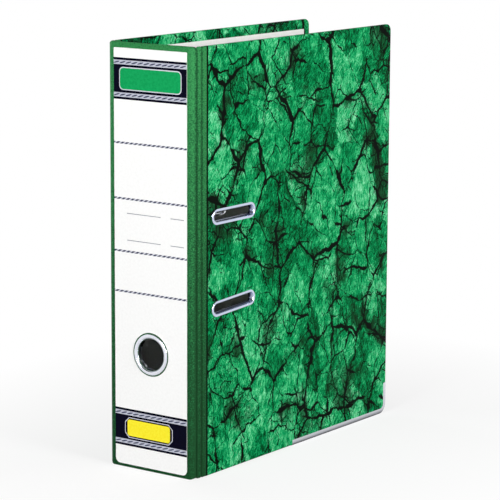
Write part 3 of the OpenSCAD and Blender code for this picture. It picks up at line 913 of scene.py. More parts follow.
@dataclass
class Case:
    """The board case: places read from the frame, and the sizes that its layers share."""

    crease_angle: float = 60.0
    # Spine and ribs stop this far from the middle of a crease
    crease_gap: float = 0.15 * MM
    # Radii of the covers' lower and upper fore corners, and the least that is left of them in an inset
    fore_radii: tuple[float, float] = (9.0 * MM, 6.0 * MM)
    least_r: float = 1.0 * MM
    # The lining stands this far proud of the turned-in sheets
    lining_proud: float = 0.1 * MM
    rim_r: float = 0.8 * MM
    # Boards lie this far inside the sheets that cover them, and further in at the ends of the spine and the others
    board_inset: float = 0.4 * MM
    spine_end: float = 2.0 * MM
    board_end: float = 1.2 * MM
    spine_low: Vector = boxed("spine_cloth", 0)
    spine_high: Vector = boxed("spine_cloth", 1)
    cover_low: Vector = boxed("front_hinge_cloth", 0)
    cover_high: Vector = boxed("front_cover_paper", 1)
    paper_x: float = PAPER_X
    crease_in: Vector = field(default_factory=lambda: Vector(JOINTS["front_rib_fold"]["pos_m"]))
    crease_out: Vector = field(default_factory=lambda: Vector(JOINTS["front_cover_fold"]["pos_m"]))

    @property
    def front_y(self) -> float:
        """Place of the front cover's outer face."""
        return self.cover_low.y

    @property
    def wall(self) -> float:
        """Thickness of a dressed board under its lining."""
        return self.cover_high.y - self.cover_low.y - self.lining_proud

    @property
    def hinge_r(self) -> float:
        """Radius of the spine's rounded edges."""
        return (self.crease_in.x - self.spine_low.x) / (1 - math.cos(math.radians(self.crease_angle)))

    def spine_outline(self, inset: float, steps: int = 10) -> list[Vector]:
        """Draws the spine in plan as a flat wall with two rounded edges.

        Args:
            inset: Depth below the spine's surface, also taken off at the creases.
            steps: Stretches in each rounded edge.

        Returns:
            Points as pairs of numbers.
        """
        centre = (self.spine_low.x + self.hinge_r, self.front_y + self.hinge_r)
        turn = self.crease_angle - math.degrees((self.crease_gap + 2 * inset) / self.hinge_r)
        front = []
        for depth in (inset, self.wall - inset):
            r = self.hinge_r - depth
            front.append(arc(centre, (r, r), 180 + turn, 180, steps))
        outer, inner = front
        back_outer, back_inner = ([Vector((p.x, -p.y)) for p in points] for points in front)
        return [*outer, *reversed(back_outer), *back_inner, *reversed(inner)]

    def rib_outline(self, inset: float) -> list[Vector]:
        """Draws the front rib in plan.

        Args:
            inset: Depth below the rib's surface, also taken off at the creases.

        Returns:
            Points as pairs of numbers, from the inner crease on.
        """
        start, end = self.crease_in.xy, self.crease_out.xy
        along = (end - start).normalized()
        inward = Vector((-along.y, along.x))
        angle = math.radians(self.crease_angle)
        lean = Vector((math.cos(angle), math.sin(angle)))
        lean /= lean.dot(inward)
        gap = along * (self.crease_gap + 2 * inset)
        first, last = start + gap, end - gap
        low, high = inset, self.wall - inset
        return [first + lean * low, last + inward * low, last + inward * high, first + lean * high]

    def cover_outline(self, start: float, grow: float = 0.0, steps: int = 10) -> list[Vector]:
        """Draws a cover with its rounded fore corners.

        Args:
            start: Place of the outline's spine side.
            grow: Width added at the foot, top and fore edge.
            steps: Stretches in each corner.

        Returns:
            Points as pairs of length and height.
        """
        low = Vector((start, self.cover_low.z - grow))
        high = Vector((self.cover_high.x + grow, self.cover_high.z + grow))
        radii = [max(r + grow, self.least_r) for r in self.fore_radii]
        return rounded_box(low, high, (*radii, 0.0, 0.0), steps)


def upright(name: str, outline: Iterable[Vector], low: float, high: float) -> Bench:
    """Pulls a plan up from one height to another and leaves the piece in edit mode."""
    return Bench(name, [Vector((p.x, p.y, low)) for p in outline], UP * (high - low))


def sheet(name: str, outline: Iterable[Vector], near: float, far: float) -> Bench:
    """Pulls an outline of length and height across the case, from its outer face to its inner one."""
    return Bench(name, [Vector((p.x, near, p.y)) for p in outline], INWARD * (far - near))


@dataclass
class ClothSpine:
    """The spine, the ribs and the covers' first strip in cloth, with soft creases between."""

    case: Case
    ring: "FingerRing"
    edge_r: float = 1.25 * MM
    corner_r: float = 4.6 * MM
    crease_reach: float = 1.7 * MM
    crease_depth: float = 0.75 * MM
    crease_sheet: float = 0.25 * MM

    def build(self) -> None:
        """Builds and dresses the boards and the cloth."""
        self.spine()
        self.ribs()
        self.strips()
        self.creases()

    def spine(self) -> None:
        """Builds the spine's board and its cloth, with the finger hole through both."""
        case = self.case
        low, high = case.spine_low, case.spine_high
        cloth = upright("spine_cloth_cover", case.spine_outline(0.0), low.z, high.z)
        for index, (side, end) in enumerate(((1, 1), (1, -1), (-1, 1), (-1, -1))):
            cloth.cut(self.corner(f"spine_corner_{index}", side, end))
        cloth.cut(self.ring.hole()).soften(self.edge_r, 4)
        place(cloth.done(), "spine", CLOTH, ["spine_cloth"])
        outline = case.spine_outline(case.board_inset)
        board = upright("spine_grey_board", outline, low.z + case.spine_end, high.z - case.spine_end)
        place(board.cut(self.ring.hole()).done(), "spine", BOARD, ["spine_board"])

    def corner(self, name: str, side: int, end: int) -> Bench:
        """Makes a cutter that rounds one corner of the spine.

        Args:
            name: Name of the cutter.
            side: 1 for the back corners and -1 for the front ones.
            end: 1 for the top and -1 for the foot.

        Returns:
            The cutter.
        """
        case, r = self.case, self.corner_r
        edge = case.hinge_r * (1 - math.sin(math.radians(case.crease_angle))) + case.front_y
        y, z = abs(edge), case.spine_high.z if end > 0 else case.spine_low.z
        curve = arc((y - r, 0.0), (r, r), 90, 0, 8)
        points = [Vector((p.x * side, z + end * (p.y - r))) for p in curve]
        over = [Vector((side * (y + r), z - end * r)), Vector((side * (y + r), z + end * r))]
        outline = [*points, *over, Vector((points[0].x, z + end * r))]
        start = case.spine_low.x - r
        return Bench(name, [Vector((start, p.x, p.y)) for p in outline], ALONG * (6 * r))

    def ribs(self) -> None:
        """Builds the ribs between the creases, board and cloth."""
        case = self.case
        low, high = case.cover_low.z, case.cover_high.z
        cloth = upright("front_rib_cover", case.rib_outline(0.0), low, high).soften(self.edge_r, 4)
        outline = case.rib_outline(case.board_inset)
        board = upright("front_rib_core", outline, low + case.board_end, high - case.board_end)
        place_pair(cloth.done(), "rib", CLOTH, "rib_cloth")
        place_pair(board.done(), "rib", BOARD, "rib_board")

    def strips(self) -> None:
        """Builds the cloth's strip along each cover, as far as the marbled paper."""
        case = self.case
        low, high = case.cover_low.xy, Vector((case.paper_x, case.cover_low.y + case.wall))
        outline = [low, Vector((high.x, low.y)), high, Vector((low.x, high.y))]
        strip = upright("front_cloth_strip", outline, case.cover_low.z, case.cover_high.z)
        strip.soften(self.edge_r, 4, lambda ends: any(abs(p.x - high.x) > TINY for p in ends))
        place_pair(strip.done(), "cover", CLOTH, "hinge_cloth")

    def creases(self) -> None:
        """Builds the pressed-in cloth at each crease."""
        case = self.case
        start, end = case.crease_in.xy, case.crease_out.xy
        along = (end - start).normalized()
        lean = math.radians(case.crease_angle)
        folds = {
            "inner": (start, Vector((math.sin(lean), -math.cos(lean))), along, "spine", "rib"),
            "outer": (end, along, ALONG.xy, "rib", "cover"),
        }
        low, high = case.cover_low.z + case.rim_r, case.cover_high.z - case.rim_r
        for name, (crease, before, after, first_body, last_body) in folds.items():
            middle = (before + after).normalized()
            inward = Vector((-middle.y, middle.x))
            floor = crease + inward * self.crease_depth
            first, last = floor - before * self.crease_reach, floor + after * self.crease_reach
            line = [first, floor, last]
            outline = [*line, *[p + inward * self.crease_sheet for p in reversed(line)]]
            obj = upright(f"front_{name}_crease", outline, low, high).done()
            copy = mirrored(obj, f"back_{name}_crease")
            for fold, side, sign in ((obj, "front", 1), (copy, "back", -1)):
                # The pressed-in cloth is the darker copy, painted shade in the groove
                dress(fold, SHADED_CREASE_CLOTH)
                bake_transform(fold)


@dataclass
class SlotEyelets:
    """The two nickel eyelets of the front cover's slots, and the holes that they sit in."""

    slot_l: float = 51.0 * MM
    slot_h: float = 5.6 * MM
    flare: float = 1.6 * MM
    wall: float = 0.5 * MM
    flange: float = 2.2 * MM
    # The dome rolls this far into the funnel
    roll: float = 0.1 * MM
    rise: float = 0.8 * MM
    lip: float = 0.5 * MM
    lower_tilt: float = 3.0
    depth: float = 3.0 * MM
    end_steps: int = 24

    @property
    def straight(self) -> float:
        """Length of a slot's straight sides."""
        return self.slot_l - self.slot_h

    def spots(self) -> dict[str, tuple[Vector, float]]:
        """Finds where the eyelets sit.

        Returns:
            Each eyelet's node with its middle on the cover's face and its tilt in radians.
        """
        found = {}
        for node, tilt in (("upper_slot_eyelet", 0.0), ("lower_slot_eyelet", self.lower_tilt)):
            low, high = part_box(node)
            found[node] = (Vector(((low.x + high.x) / 2, FACE_Y, (low.z + high.z) / 2)), math.radians(tilt))
        return found

    def section(self) -> list[Vector]:
        """Draws the eyelet's section.

        Returns:
            Pairs of width outside the clear slot and height over the cover.
        """
        mouth, rim, barrel = self.flare - self.roll, self.flare + self.flange, self.flare + self.wall
        dome = arc(((mouth + rim) / 2, 0.0), ((rim - mouth) / 2, self.rise), 0, 180, 12)
        # Shares of the mouth's width and of the depth down the funnel
        throat = [(0.88, 0.10), (0.70, 0.26), (0.45, 0.48), (0.22, 0.70), (0.07, 0.88), (0.0, 1.0)]
        funnel = [Vector((mouth * width, -self.depth * deep)) for width, deep in throat]
        back = -self.depth - self.lip
        tail = [(0.0, back), (barrel + self.lip, back), (barrel + self.lip, -self.depth)]
        tail += [(barrel, -self.depth), (barrel, 0.0)]
        return [*dome, *funnel, *map(Vector, tail)]

    def build(self) -> None:
        """Sweeps the section round both slots and dresses the eyelets."""
        for node, (middle, tilt) in self.spots().items():
            along = Vector((math.cos(tilt), 0.0, math.sin(tilt)))
            across = Vector((-math.sin(tilt), 0.0, math.cos(tilt)))
            end = middle + along * self.straight / 2
            start = [end - across * (self.slot_h / 2 + p.x) - INWARD * p.y for p in self.section()]
            piece = Bench(f"{node}_rim", [*start, start[0]])
            for centre, run in ((end, -along), (end - along * self.straight, along)):
                bpy.ops.mesh.spin(steps=self.end_steps, angle=math.pi, center=centre, axis=INWARD)
                piece.pull(run * self.straight)
            piece.tidy()
            place(piece.done(50), "front_cover", EYELET_NICKEL, [node])

    def cut(self, piece: Bench) -> Bench:
        """Cuts the holes for both eyelets into a cover's layer.

        Args:
            piece: The layer.

        Returns:
            The layer, in object mode.
        """
        for node, (middle, tilt) in self.spots().items():
            r = self.slot_h / 2 + self.flare + self.wall / 2
            half = self.straight / 2
            outline = arc((half, 0.0), (r, r), -90, 90, self.end_steps)
            outline += arc((-half, 0.0), (r, r), 90, 270, self.end_steps)
            turn = Matrix.Rotation(-tilt, 3, "Y")
            reach = INWARD * (4 * self.depth)
            points = [middle - reach / 2 + turn @ Vector((p.x, 0.0, p.y)) for p in outline]
            piece.cut(Bench(f"{node}_hole", points, reach))
        return piece


@dataclass
class MarbledCovers:
    """The covers' boards and the marbled paper over them, turned in round the white lining."""

    case: Case
    eyelets: SlotEyelets
    turn_in: float = 10.5 * MM
    lining_inset: float = 8.6 * MM
    # The lining is let into the board by this much
    lining_sunk: float = 0.3 * MM
    paper: float = 0.28 * MM

    def wrapped(self, name: str) -> Bench:
        """Builds a cover's paper as a slab whose inside is opened up and whose skin is then thickened.

        Args:
            name: Name of the piece.

        Returns:
            The piece in object mode, without slots.
        """
        case = self.case
        start, inner = case.paper_x, case.front_y + case.wall
        piece = sheet(name, case.cover_outline(start), case.front_y, inner)
        piece.soften(case.rim_r, 4, lambda ends: any(abs(p.x - start) > TINY for p in ends))
        fore = case.cover_high.x - self.turn_in
        foot, top = case.cover_low.z + self.turn_in, case.cover_high.z - self.turn_in
        for spot, normal in ((ALONG * fore, ALONG), (UP * foot, UP), (UP * top, UP)):
            bpy.ops.mesh.select_all(action="SELECT")
            bpy.ops.mesh.bisect(plane_co=spot, plane_no=normal)

        def opened(_: bmesh.types.BMFace, corners: list[Vector]) -> bool:
            """Says which faces are taken out.

            Args:
                _: The face.
                corners: Its corners.

            Returns:
                True at the spine side, and on the inside within the turned-in edges.
            """
            middle = sum(corners, Vector()) / len(corners)
            if all(abs(p.x - start) < TINY for p in corners):
                return True
            return abs(middle.y - inner) < TINY and middle.x < fore and foot < middle.z < top

        piece.pick(Part.FACE, opened)
        bpy.ops.mesh.delete(type="FACE")
        piece.done(smooth=None)
        piece.modify("SOLIDIFY", thickness=self.paper, offset=-1.0, use_even_offset=True)
        return piece

    def build(self) -> None:
        """Builds and dresses both covers' boards and paper."""
        case, inset = self.case, self.case.board_inset
        for side in ("back", "front"):
            start, far = case.cover_low.x + case.board_end, case.front_y + case.wall - inset
            board = sheet(f"{side}_grey_board", case.cover_outline(start, -inset), case.front_y + inset, far)
            paper = self.wrapped(f"{side}_marbled_sheet")
            outline = case.cover_outline(case.cover_low.x, -self.lining_inset)
            lining = sheet(f"{side}_white_lining", outline, far - self.lining_sunk, case.cover_high.y)
            layers = ((board, BOARD, "board"), (paper, MARBLE, "cover_paper"), (lining, LINING, "lining"))
            for piece, finish, node in layers:
                if side == "front":
                    place(self.eyelets.cut(piece).done(), "front_cover", finish, [f"front_{node}"])
                    continue
                flat = piece.done()
                copy = mirrored(flat, f"{flat.name}_turned")
                bpy.data.objects.remove(flat)
                place(copy, "back_cover", finish, [f"back_{node}"])


@dataclass
class EdgeShoes:
    """Folded nickel channels round the covers' lower fore corners."""

    case: Case
    length: float = 146.0 * MM
    height: float = 28.0 * MM
    leg: float = 4.5 * MM
    metal: float = 0.5 * MM
    round_r: float = 1.95 * MM
    inner_r: float = 1.3 * MM

    def build(self) -> None:
        """Builds and dresses both shoes."""
        case = self.case
        start, top = case.cover_high.x - self.length, case.cover_low.z - self.metal + self.height
        near, far = case.front_y - self.metal, case.cover_high.y + self.metal
        corner = case.cover_outline(start, self.metal)
        outline = [corner[-1], *[p for p in corner[:-1] if p.y < top]]
        outline += [Vector((case.cover_high.x + self.metal, top)), Vector((start, top))]
        piece = sheet("front_corner_shoe", outline, near, far)

        def rim(ends: list[Vector]) -> bool:
            """Says if an edge is on the shoe's rim and not at one of its two cut ends."""
            return not (all(abs(p.x - start) < TINY for p in ends) or all(abs(p.z - top) < TINY for p in ends))

        piece.soften(self.round_r, 6, rim)
        away = start - self.length
        window = case.cover_outline(away, -self.leg)
        piece.cut(sheet("shoe_window", window, near - self.length, far + self.length))
        room = sheet("shoe_room", case.cover_outline(away), case.front_y, case.cover_high.y)
        piece.cut(room.soften(self.inner_r, 4))
        place_pair(piece.done(40), "cover", SATIN_NICKEL, "edge_shoe")


# Label and finger ring


@dataclass
class FingerRing:
    """The nickel ring of the finger hole and its washer, each turned from one section."""

    hole_r: float = 13.0 * MM
    wall: float = 0.6 * MM
    flange: float = 3.4 * MM
    roll: float = 3.0 * MM
    steps: int = 96
    low: Vector = boxed("finger_ring", 0)
    high: Vector = boxed("finger_ring", 1)
    label_x: float = field(default_factory=lambda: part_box("spine_label")[0].x)
    washer: tuple[float, float] = field(
        default_factory=lambda: tuple(corner.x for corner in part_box("finger_ring_washer"))
    )

    @property
    def centre(self) -> Vector:
        """Middle of the finger hole."""
        return (self.low + self.high) / 2

    def build(self) -> None:
        """Builds and dresses the ring and its washer."""
        hole, barrel = self.hole_r, self.hole_r + self.wall
        outer = barrel + self.flange
        middle, half, rise = (hole + outer) / 2, (outer - hole) / 2, self.label_x - self.low.x
        dome = arc((middle, 0.0), (half, rise), 0, 90, 8)
        dome += arc((middle, -self.roll), (half, rise + self.roll), 90, 180, 12)[1:]
        near, far = self.washer
        lip = self.high.x - far
        section = [(self.label_x - p.y, p.x) for p in dome]
        section += [(self.high.x - lip / 2, hole)]
        section += [(p.x, p.y) for p in arc((self.high.x - lip / 2, barrel), (lip / 2, lip), 0, 90, 4)]
        section += [(far, barrel + lip), (far, barrel), (self.label_x, barrel)]
        self.spun("finger_ring_rim", section, "finger_ring")
        edge = 0.2 * MM
        plate = [(near, barrel), (near, outer), (far - edge, outer), (far, outer - edge), (far, barrel)]
        self.spun("finger_ring_back", plate, "finger_ring_washer")

    def spun(self, name: str, section: list[tuple[float, float]], node: str) -> None:
        """Turns a section, given as pairs of place along the hole and radius, into a ring."""
        foot = Vector((0.0, self.centre.y, self.centre.z))
        place(turned(name, section, foot, ALONG, True, self.steps).done(50), "spine", NICKEL, [node])

    def hole(self, clear: float = 0.0) -> Bench:
        """Makes a cutter for the finger hole.

        Args:
            clear: Distance from the ring's flange, or 0 for the hole that its barrel sits in.

        Returns:
            The cutter.
        """
        r = self.hole_r + self.wall + self.flange + clear if clear else self.hole_r + self.wall / 2
        outline = arc(self.centre.yz, (r, r), 0, 360, self.steps)[:-1]
        start = self.low.x - self.hole_r
        return Bench("finger_hole", [Vector((start, p.x, p.y)) for p in outline], ALONG * (3 * self.hole_r))


@dataclass(frozen=True)
class Mark:
    """A flat mark printed on the label, in millimetres from the label's left edge and the case's foot.

    Marks on a higher layer lie over lower ones, and one corner step makes chamfers.
    """

    name: str
    finish: Finish
    low: float
    high: float
    left: float = 0.0
    right: float = 74.0
    corner: float = 0.0
    layer: int = 1
    corner_steps: int = 6


@dataclass
class SpineLabel:
    """The white paper label with its printed bands and rules."""

    foot_r: float = 4.5 * MM
    top_r: float = 1.0 * MM
    ring_gap: float = 1.1 * MM
    layer: float = 0.03 * MM
    bands: tuple[tuple[str, float, float], ...] = (("foot", 18.2, 49.6), ("head", 304.1, 337.6))
    rope_h: float = 3.6
    rope_inset: float = 1.9
    # Middles and half heights of the rope rules and of the lines to write on, and the ends of those lines
    rules: tuple[float, ...] = (147.4, 180.6, 223.7, 269.0)
    rule_half: float = 0.85
    lines: tuple[float, ...] = (189.9, 211.9)
    line_half: float = 0.25
    line_ends: tuple[tuple[str, float, float], ...] = (("long", 13.0, 47.5), ("short", 57.5, 71.0))
    # Half length and half height of the slits between a rope's strands, their slope in degrees and their pitch
    slit: tuple[float, float] = (3.2, 0.6)
    slit_slope: float = 15.0
    slit_step: float = 6.1
    low: Vector = boxed("spine_label", 0)
    high: Vector = boxed("spine_label", 1)

    def marks(self) -> list[Mark]:
        """Lists the label's print.

        Returns:
            The marks, without the slits of the ropes.
        """
        marks = [Mark(f"{name}_band", BLACK_INK, low, high) for name, low, high in self.bands]
        marks += [Mark(name, SILVER_INK, foot, foot + self.rope_h, layer=2) for name, foot in self.ropes().items()]
        marks += [
            Mark("foot_plate_outline", PALE_INK, 25.2, 42.4, 10.0, 59.5, 4.0, 2, 1),
            Mark("foot_plate_gap", BLACK_INK, 25.8, 41.8, 10.6, 58.9, 3.8, 3, 1),
            Mark("foot_plate", YELLOW_INK, 26.9, 40.7, 12.6, 56.8, 2.2, 4),
            Mark("head_bar_outline", PALE_INK, 311.6, 330.2, 5.6, 68.8, 4.0, 2),
            Mark("head_bar", GREEN_INK, 312.4, 329.4, 6.4, 68.0, 3.4, 3),
        ]
        for number, z in enumerate(self.rules, 1):
            marks.append(Mark(f"rope_rule_{number}", ROPE_INK, z - self.rule_half, z + self.rule_half))
        for number, z in enumerate(self.lines, 1):
            for name, left, right in self.line_ends:
                low, high = z - self.line_half, z + self.line_half
                marks.append(Mark(f"{name}_line_{number}", RULE_INK, low, high, left, right))
        return marks

    def ropes(self) -> dict[str, float]:
        """Lists the two ropes in each band.

        Returns:
            Each rope's name and the height of its foot.
        """
        found = {}
        for name, low, high in self.bands:
            found[f"{name}_lower_rope"] = low + self.rope_inset
            found[f"{name}_upper_rope"] = high - self.rope_inset - self.rope_h
        return found

    def build(self, ring: FingerRing) -> None:
        """Builds and dresses the label and its print.

        Args:
            ring: The finger ring, whose hole goes through the label.
        """
        foot, top = self.foot_r, self.top_r
        outline = rounded_box(self.low.yz, self.high.yz, (foot, top, top, foot))
        label = self.plate("printed_label", outline, self.high.x, self.high.x - self.low.x)
        place(label.cut(ring.hole(self.ring_gap)).done(), "spine", LABEL, ["spine_label"])
        for mark in self.marks():
            low = Vector((self.high.y - mark.right * MM, mark.low * MM))
            high = Vector((self.high.y - mark.left * MM, mark.high * MM))
            outline = rounded_box(low, high, (mark.corner * MM,) * 4, mark.corner_steps)
            piece = self.plate(f"label_{mark.name}", outline, self.low.x, mark.layer * self.layer)
            place(piece.done(), "spine", mark.finish)
        for name, start in self.ropes().items():
            self.slits(name, start)

    def slits(self, name: str, start: float) -> None:
        """Prints the dark slits between a rope's strands.

        Args:
            name: Name of the rope.
            start: Height of its foot in millimetres.
        """
        middle = Vector((self.high.y - self.slit_step / 2 * MM, (start + self.rope_h / 2) * MM))
        turn = Matrix.Rotation(math.radians(-self.slit_slope), 2)
        outline = [middle + turn @ (p * MM) for p in arc((0.0, 0.0), self.slit, 0, 360, 16)[:-1]]
        piece = self.plate(f"label_{name}_slits", outline, self.low.x, 3 * self.layer)
        pitch = {"use_constant_offset": True, "constant_offset_displace": (0.0, -self.slit_step * MM, 0.0)}
        count = int((self.high.y - self.low.y) / (self.slit_step * MM))
        piece.done(smooth=None)
        piece.modify("ARRAY", count=count, use_relative_offset=False, **pitch)
        place(piece.done(), "spine", SLATE_INK)

    @staticmethod
    def plate(name: str, outline: Iterable[Vector], back: float, thick: float) -> Bench:
        """Makes a thin plate on the spine from pairs of place across it and height, in edit mode."""
        return Bench(name, [Vector((back, p.x, p.y)) for p in outline], -ALONG * thick)


# Mechanism


@dataclass(frozen=True)
class Lug:
    """A round-topped lug for a wire or pin: its middle along w, radius, bore and thickness, in millimetres."""

    w: float
    r: float
    bore: float
    thick: float


@dataclass
class Mechanism:
    """The lever arch mechanism on the back cover, in millimetres.

    Places are u from the arches' axis towards the fore edge, w up from the middle and v off the lining.
    """

    ring_w: float = 35.0
    span: float = 38.0
    # The arch wire: its radius, bends, axis, crank as u, w and v, and the height at which its arches begin
    wire_r: float = 1.9
    wire_bend: float = 3.4
    axis_v: float = 7.0
    crank: tuple[float, float, float] = (15.51, 13.3, 5.76)
    arch_v: float = 50.4
    plate_u: tuple[float, float] = (-12.0, 50.0)
    plate_w: float = 70.0
    plate_r: float = 6.0
    plate_t: float = 1.2
    # Thickness of the cover under the plate
    pack_t: float = 3.0
    rivet_u: tuple[float, float] = (-5.0, 43.0)
    rivet_w: float = 63.0
    rivet_r: float = 2.0
    # Radius and rise of the rivets' heads and of their clinched ends
    rivet_head: tuple[float, float] = (4.5, 0.8)
    rivet_clinch: tuple[float, float] = (3.6, 0.9)
    # The plate's lugs start inside it, so that they are one with it
    lug_v: float = 0.6
    bearing: Lug = Lug(24.15, 3.7, 1.95, 9.0)
    ear: Lug = Lug(9.1, 3.8, 2.0, 1.4)
    lever_u: float = 22.0
    lever_v: float = 17.0
    lever_t: float = 1.2
    cheek_w: float = 5.2
    handle_w: float = 11.0
    # Places of the handle's bend and end behind the pin, its height over the pin, its rise and its curl's radius
    handle_u: tuple[float, float] = (27.6, 46.0)
    handle_gap: float = 1.2
    handle_rise: float = 3.5
    handle_curl: float = 2.2
    pin_hole: float = 2.05
    # Radius and rise of the pins' heads
    pin_head: tuple[float, float] = (3.2, 1.2)
    axle_r: float = 1.5
    axle_head: tuple[float, float] = (2.3, 0.8)
    roller_u: float = 15.11
    roller_v: float = 11.21
    # The roller: half its length, radius, rounded edge and bore
    roller: tuple[float, float, float, float] = (4.8, 3.4, 0.4, 1.55)
    bar_v: float = 3.8
    bar_u: float = 30.0
    bar_wide: float = 18.0
    bar_half: float = 52.0
    bar_r: float = 4.0
    bar_t: float = 1.2
    bar_hole: float = 2.7
    bead_r: float = 1.0
    bead_half: float = 48.0
    eye: Lug = Lug(27.1, 2.1, 1.25, 4.0)
    # The catch wire: its radius, bends, axis, ends, legs and front
    catch_r: float = 1.2
    catch_bend: float = 2.6
    catch_u: float = 44.4
    catch_v: float = 6.4
    catch_end: float = 23.1
    catch_leg: float = 30.9
    catch_front: float = 33.4

    @cached_property
    def origin(self) -> Vector:
        """Place of the arches' axis over the lining, at the middle of the plate."""
        low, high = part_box("base_plate")
        return Vector((JOINTS["arch_swing"]["pos_m"][0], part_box("back_lining")[0].y, low.z / 2 + high.z / 2))

    def at(self, u: float, w: float, v: float) -> Vector:
        """Turns a place in the mechanism into one in the frame, in metres."""
        return self.origin + Vector((u, -v, w)) * MM

    def build(self) -> None:
        """Builds and dresses the whole mechanism."""
        self.plate()
        self.posts()
        self.arches()
        self.lever()
        self.compressor()

    def flat(self, name: str, outline: Iterable[Vector], w: float, thick: float) -> Bench:
        """Pulls an outline of u and v up from the height w and leaves the piece in edit mode."""
        return Bench(name, [self.at(p.x, w, p.y) for p in outline], UP * (thick * MM))

    def drill(self, u: float, v: float, r: float) -> Bench:
        """Makes a cutter for a hole along w through the whole mechanism."""
        outline = arc((u, v), (r, r), 0, 360, 32)[:-1]
        return self.flat("drill", outline, -2 * self.ring_w, 4 * self.ring_w)

    def lug(self, name: str, lug: Lug, side: int, u: float, v: float, foot: float) -> bpy.types.Object:
        """Makes one of a pair of lugs.

        Args:
            name: Name of the piece.
            lug: Its sizes.
            side: 1 for the upper one and -1 for the lower one.
            u: Place of its bore.
            v: Height of its bore over the lining.
            foot: Height of its foot over the lining.

        Returns:
            The finished lug.
        """
        top = arc((u, v), (lug.r, lug.r), 0, 180, 20)
        outline = [Vector((u + lug.r, foot)), *top, Vector((u - lug.r, foot))]
        piece = self.flat(name, outline, side * lug.w - lug.thick / 2, lug.thick)
        return piece.cut(self.drill(u, v, lug.bore)).soften(0.25 * MM).done()

    def slab(self, name: str, low: Vector, high: Vector, r: float, v: float, thick: float) -> Bench:
        """Makes a flat plate with round corners, given as pairs of u and w, in edit mode."""
        outline = [self.at(p.x, p.y, v) for p in rounded_box(low, high, (r,) * 4, 8)]
        return Bench(name, outline, -INWARD * (thick * MM))

    def plate(self) -> None:
        """Builds the base plate with its bearings, ears and rivets."""
        (near, far), half = self.plate_u, self.plate_w
        low, high = Vector((near, -half)), Vector((far, half))
        plate = self.slab("mechanism_plate", low, high, self.plate_r, 0.0, self.plate_t).soften(0.4 * MM)
        place(plate.done(), "back_cover", NICKEL, ["base_plate"])
        for name, side in SIDES:
            bearing = self.lug(f"{name}_bearing", self.bearing, side, 0.0, self.axis_v, self.lug_v)
            place(bearing, "back_cover", NICKEL)
            ear = self.lug(f"{name}_ear", self.ear, side, self.lever_u, self.lever_v, self.lug_v)
            place(ear, "back_cover", NICKEL)
        section = [(p.y, p.x) for p in arc((0.0, -self.pack_t), self.rivet_head, -90, 0, 8)]
        section += [(-self.pack_t, self.rivet_r), (self.plate_t, self.rivet_r)]
        section += [(p.y, p.x) for p in arc((0.0, self.plate_t), self.rivet_clinch, 0, 90, 8)]
        spots = [(u, w) for u in self.rivet_u for w in (-self.rivet_w, self.rivet_w)]
        for number, (u, w) in enumerate(spots, 1):
            nodes = ["mounting_rivets"] if number == 1 else []
            self.spun(f"mounting_rivet_{number}", section, self.at(u, w, 0.0), -INWARD, "back_cover", NICKEL, nodes)

    def spun(
        self,
        name: str,
        section: Iterable[Sequence[float]],
        foot: Vector,
        axis: Vector,
        body: str,
        finish: Finish,
        nodes: Iterable[str],
        closed: bool = False,
    ) -> None:
        """Turns, dresses and places a piece whose section is pairs of distance along the axis and radius."""
        metres = [(along * MM, radius * MM) for along, radius in section]
        place(turned(name, metres, foot, axis, closed).done(), body, finish, nodes)

    @staticmethod
    def pin(half: float, shank: float, head: tuple[float, float]) -> list[tuple[float, float]]:
        """Draws a pin's section from the foot up, with two domed heads of a radius and rise."""
        upper = [(half, shank), *((half + p.y, p.x) for p in arc((0.0, 0.0), head, 0, 90, 8))]
        return [*((-along, radius) for along, radius in reversed(upper)), *upper]

    def wire(self, name: str, upper: list[tuple[Vector, float]], r: float, round_off: float) -> bpy.types.Object:
        """Bends a wire whose lower half mirrors its upper one.

        Args:
            name: Name of the piece.
            upper: Corners of its upper half from the end on, each with the radius of its bend or 0.
            r: Its radius in millimetres.
            round_off: Rounding of its ends in millimetres.

        Returns:
            The finished wire.
        """
        lower = [(Vector((p.x, p.y, 2 * self.origin.z - p.z)), bend) for p, bend in reversed(upper)]
        wire = Bench(name, bent([*upper, *lower])).wired(r * MM)
        return wire.soften(round_off * MM, 3, sharp=60).done(50)

    def posts(self) -> None:
        """Builds the fixed tubular posts with their collars."""
        # Foot and collar, then the tube with its rim and blind bore
        section = [(0.0, 0.0), (0.0, 2.4), (1.2, 2.4), (1.2, 4.0), (1.4, 4.2), (2.8, 4.2), (3.2, 3.8), (3.2, 2.4)]
        section += [(49.4, 2.4), (49.8, 2.2), (50.0, 1.9), (50.0, 1.3), (49.8, 1.2), (44.0, 1.2), (44.0, 0.0)]
        for name, side in SIDES:
            foot = self.at(self.span, side * self.ring_w, 0.0)
            self.spun(f"{name}_ring_post", section, foot, -INWARD, "back_cover", NICKEL, [f"{name}_post"])

    def arches(self) -> None:
        """Bends both arches and their crank from one wire."""
        (u, w, v), half, bend = self.crank, self.span / 2, self.wire_bend * MM
        curve = arc((half, self.arch_v), (half, half), 0, 180, 32)
        path = [(self.at(p.x, self.ring_w, p.y), 0.0) for p in curve]
        path += [(self.at(0.0, self.ring_w, self.axis_v), bend), (self.at(0.0, w, self.axis_v), bend)]
        path.append((self.at(u, w, v), bend))
        place(self.wire("bent_arch_wire", path, self.wire_r, 0.5), "arches", NICKEL, ["arch_wire"])

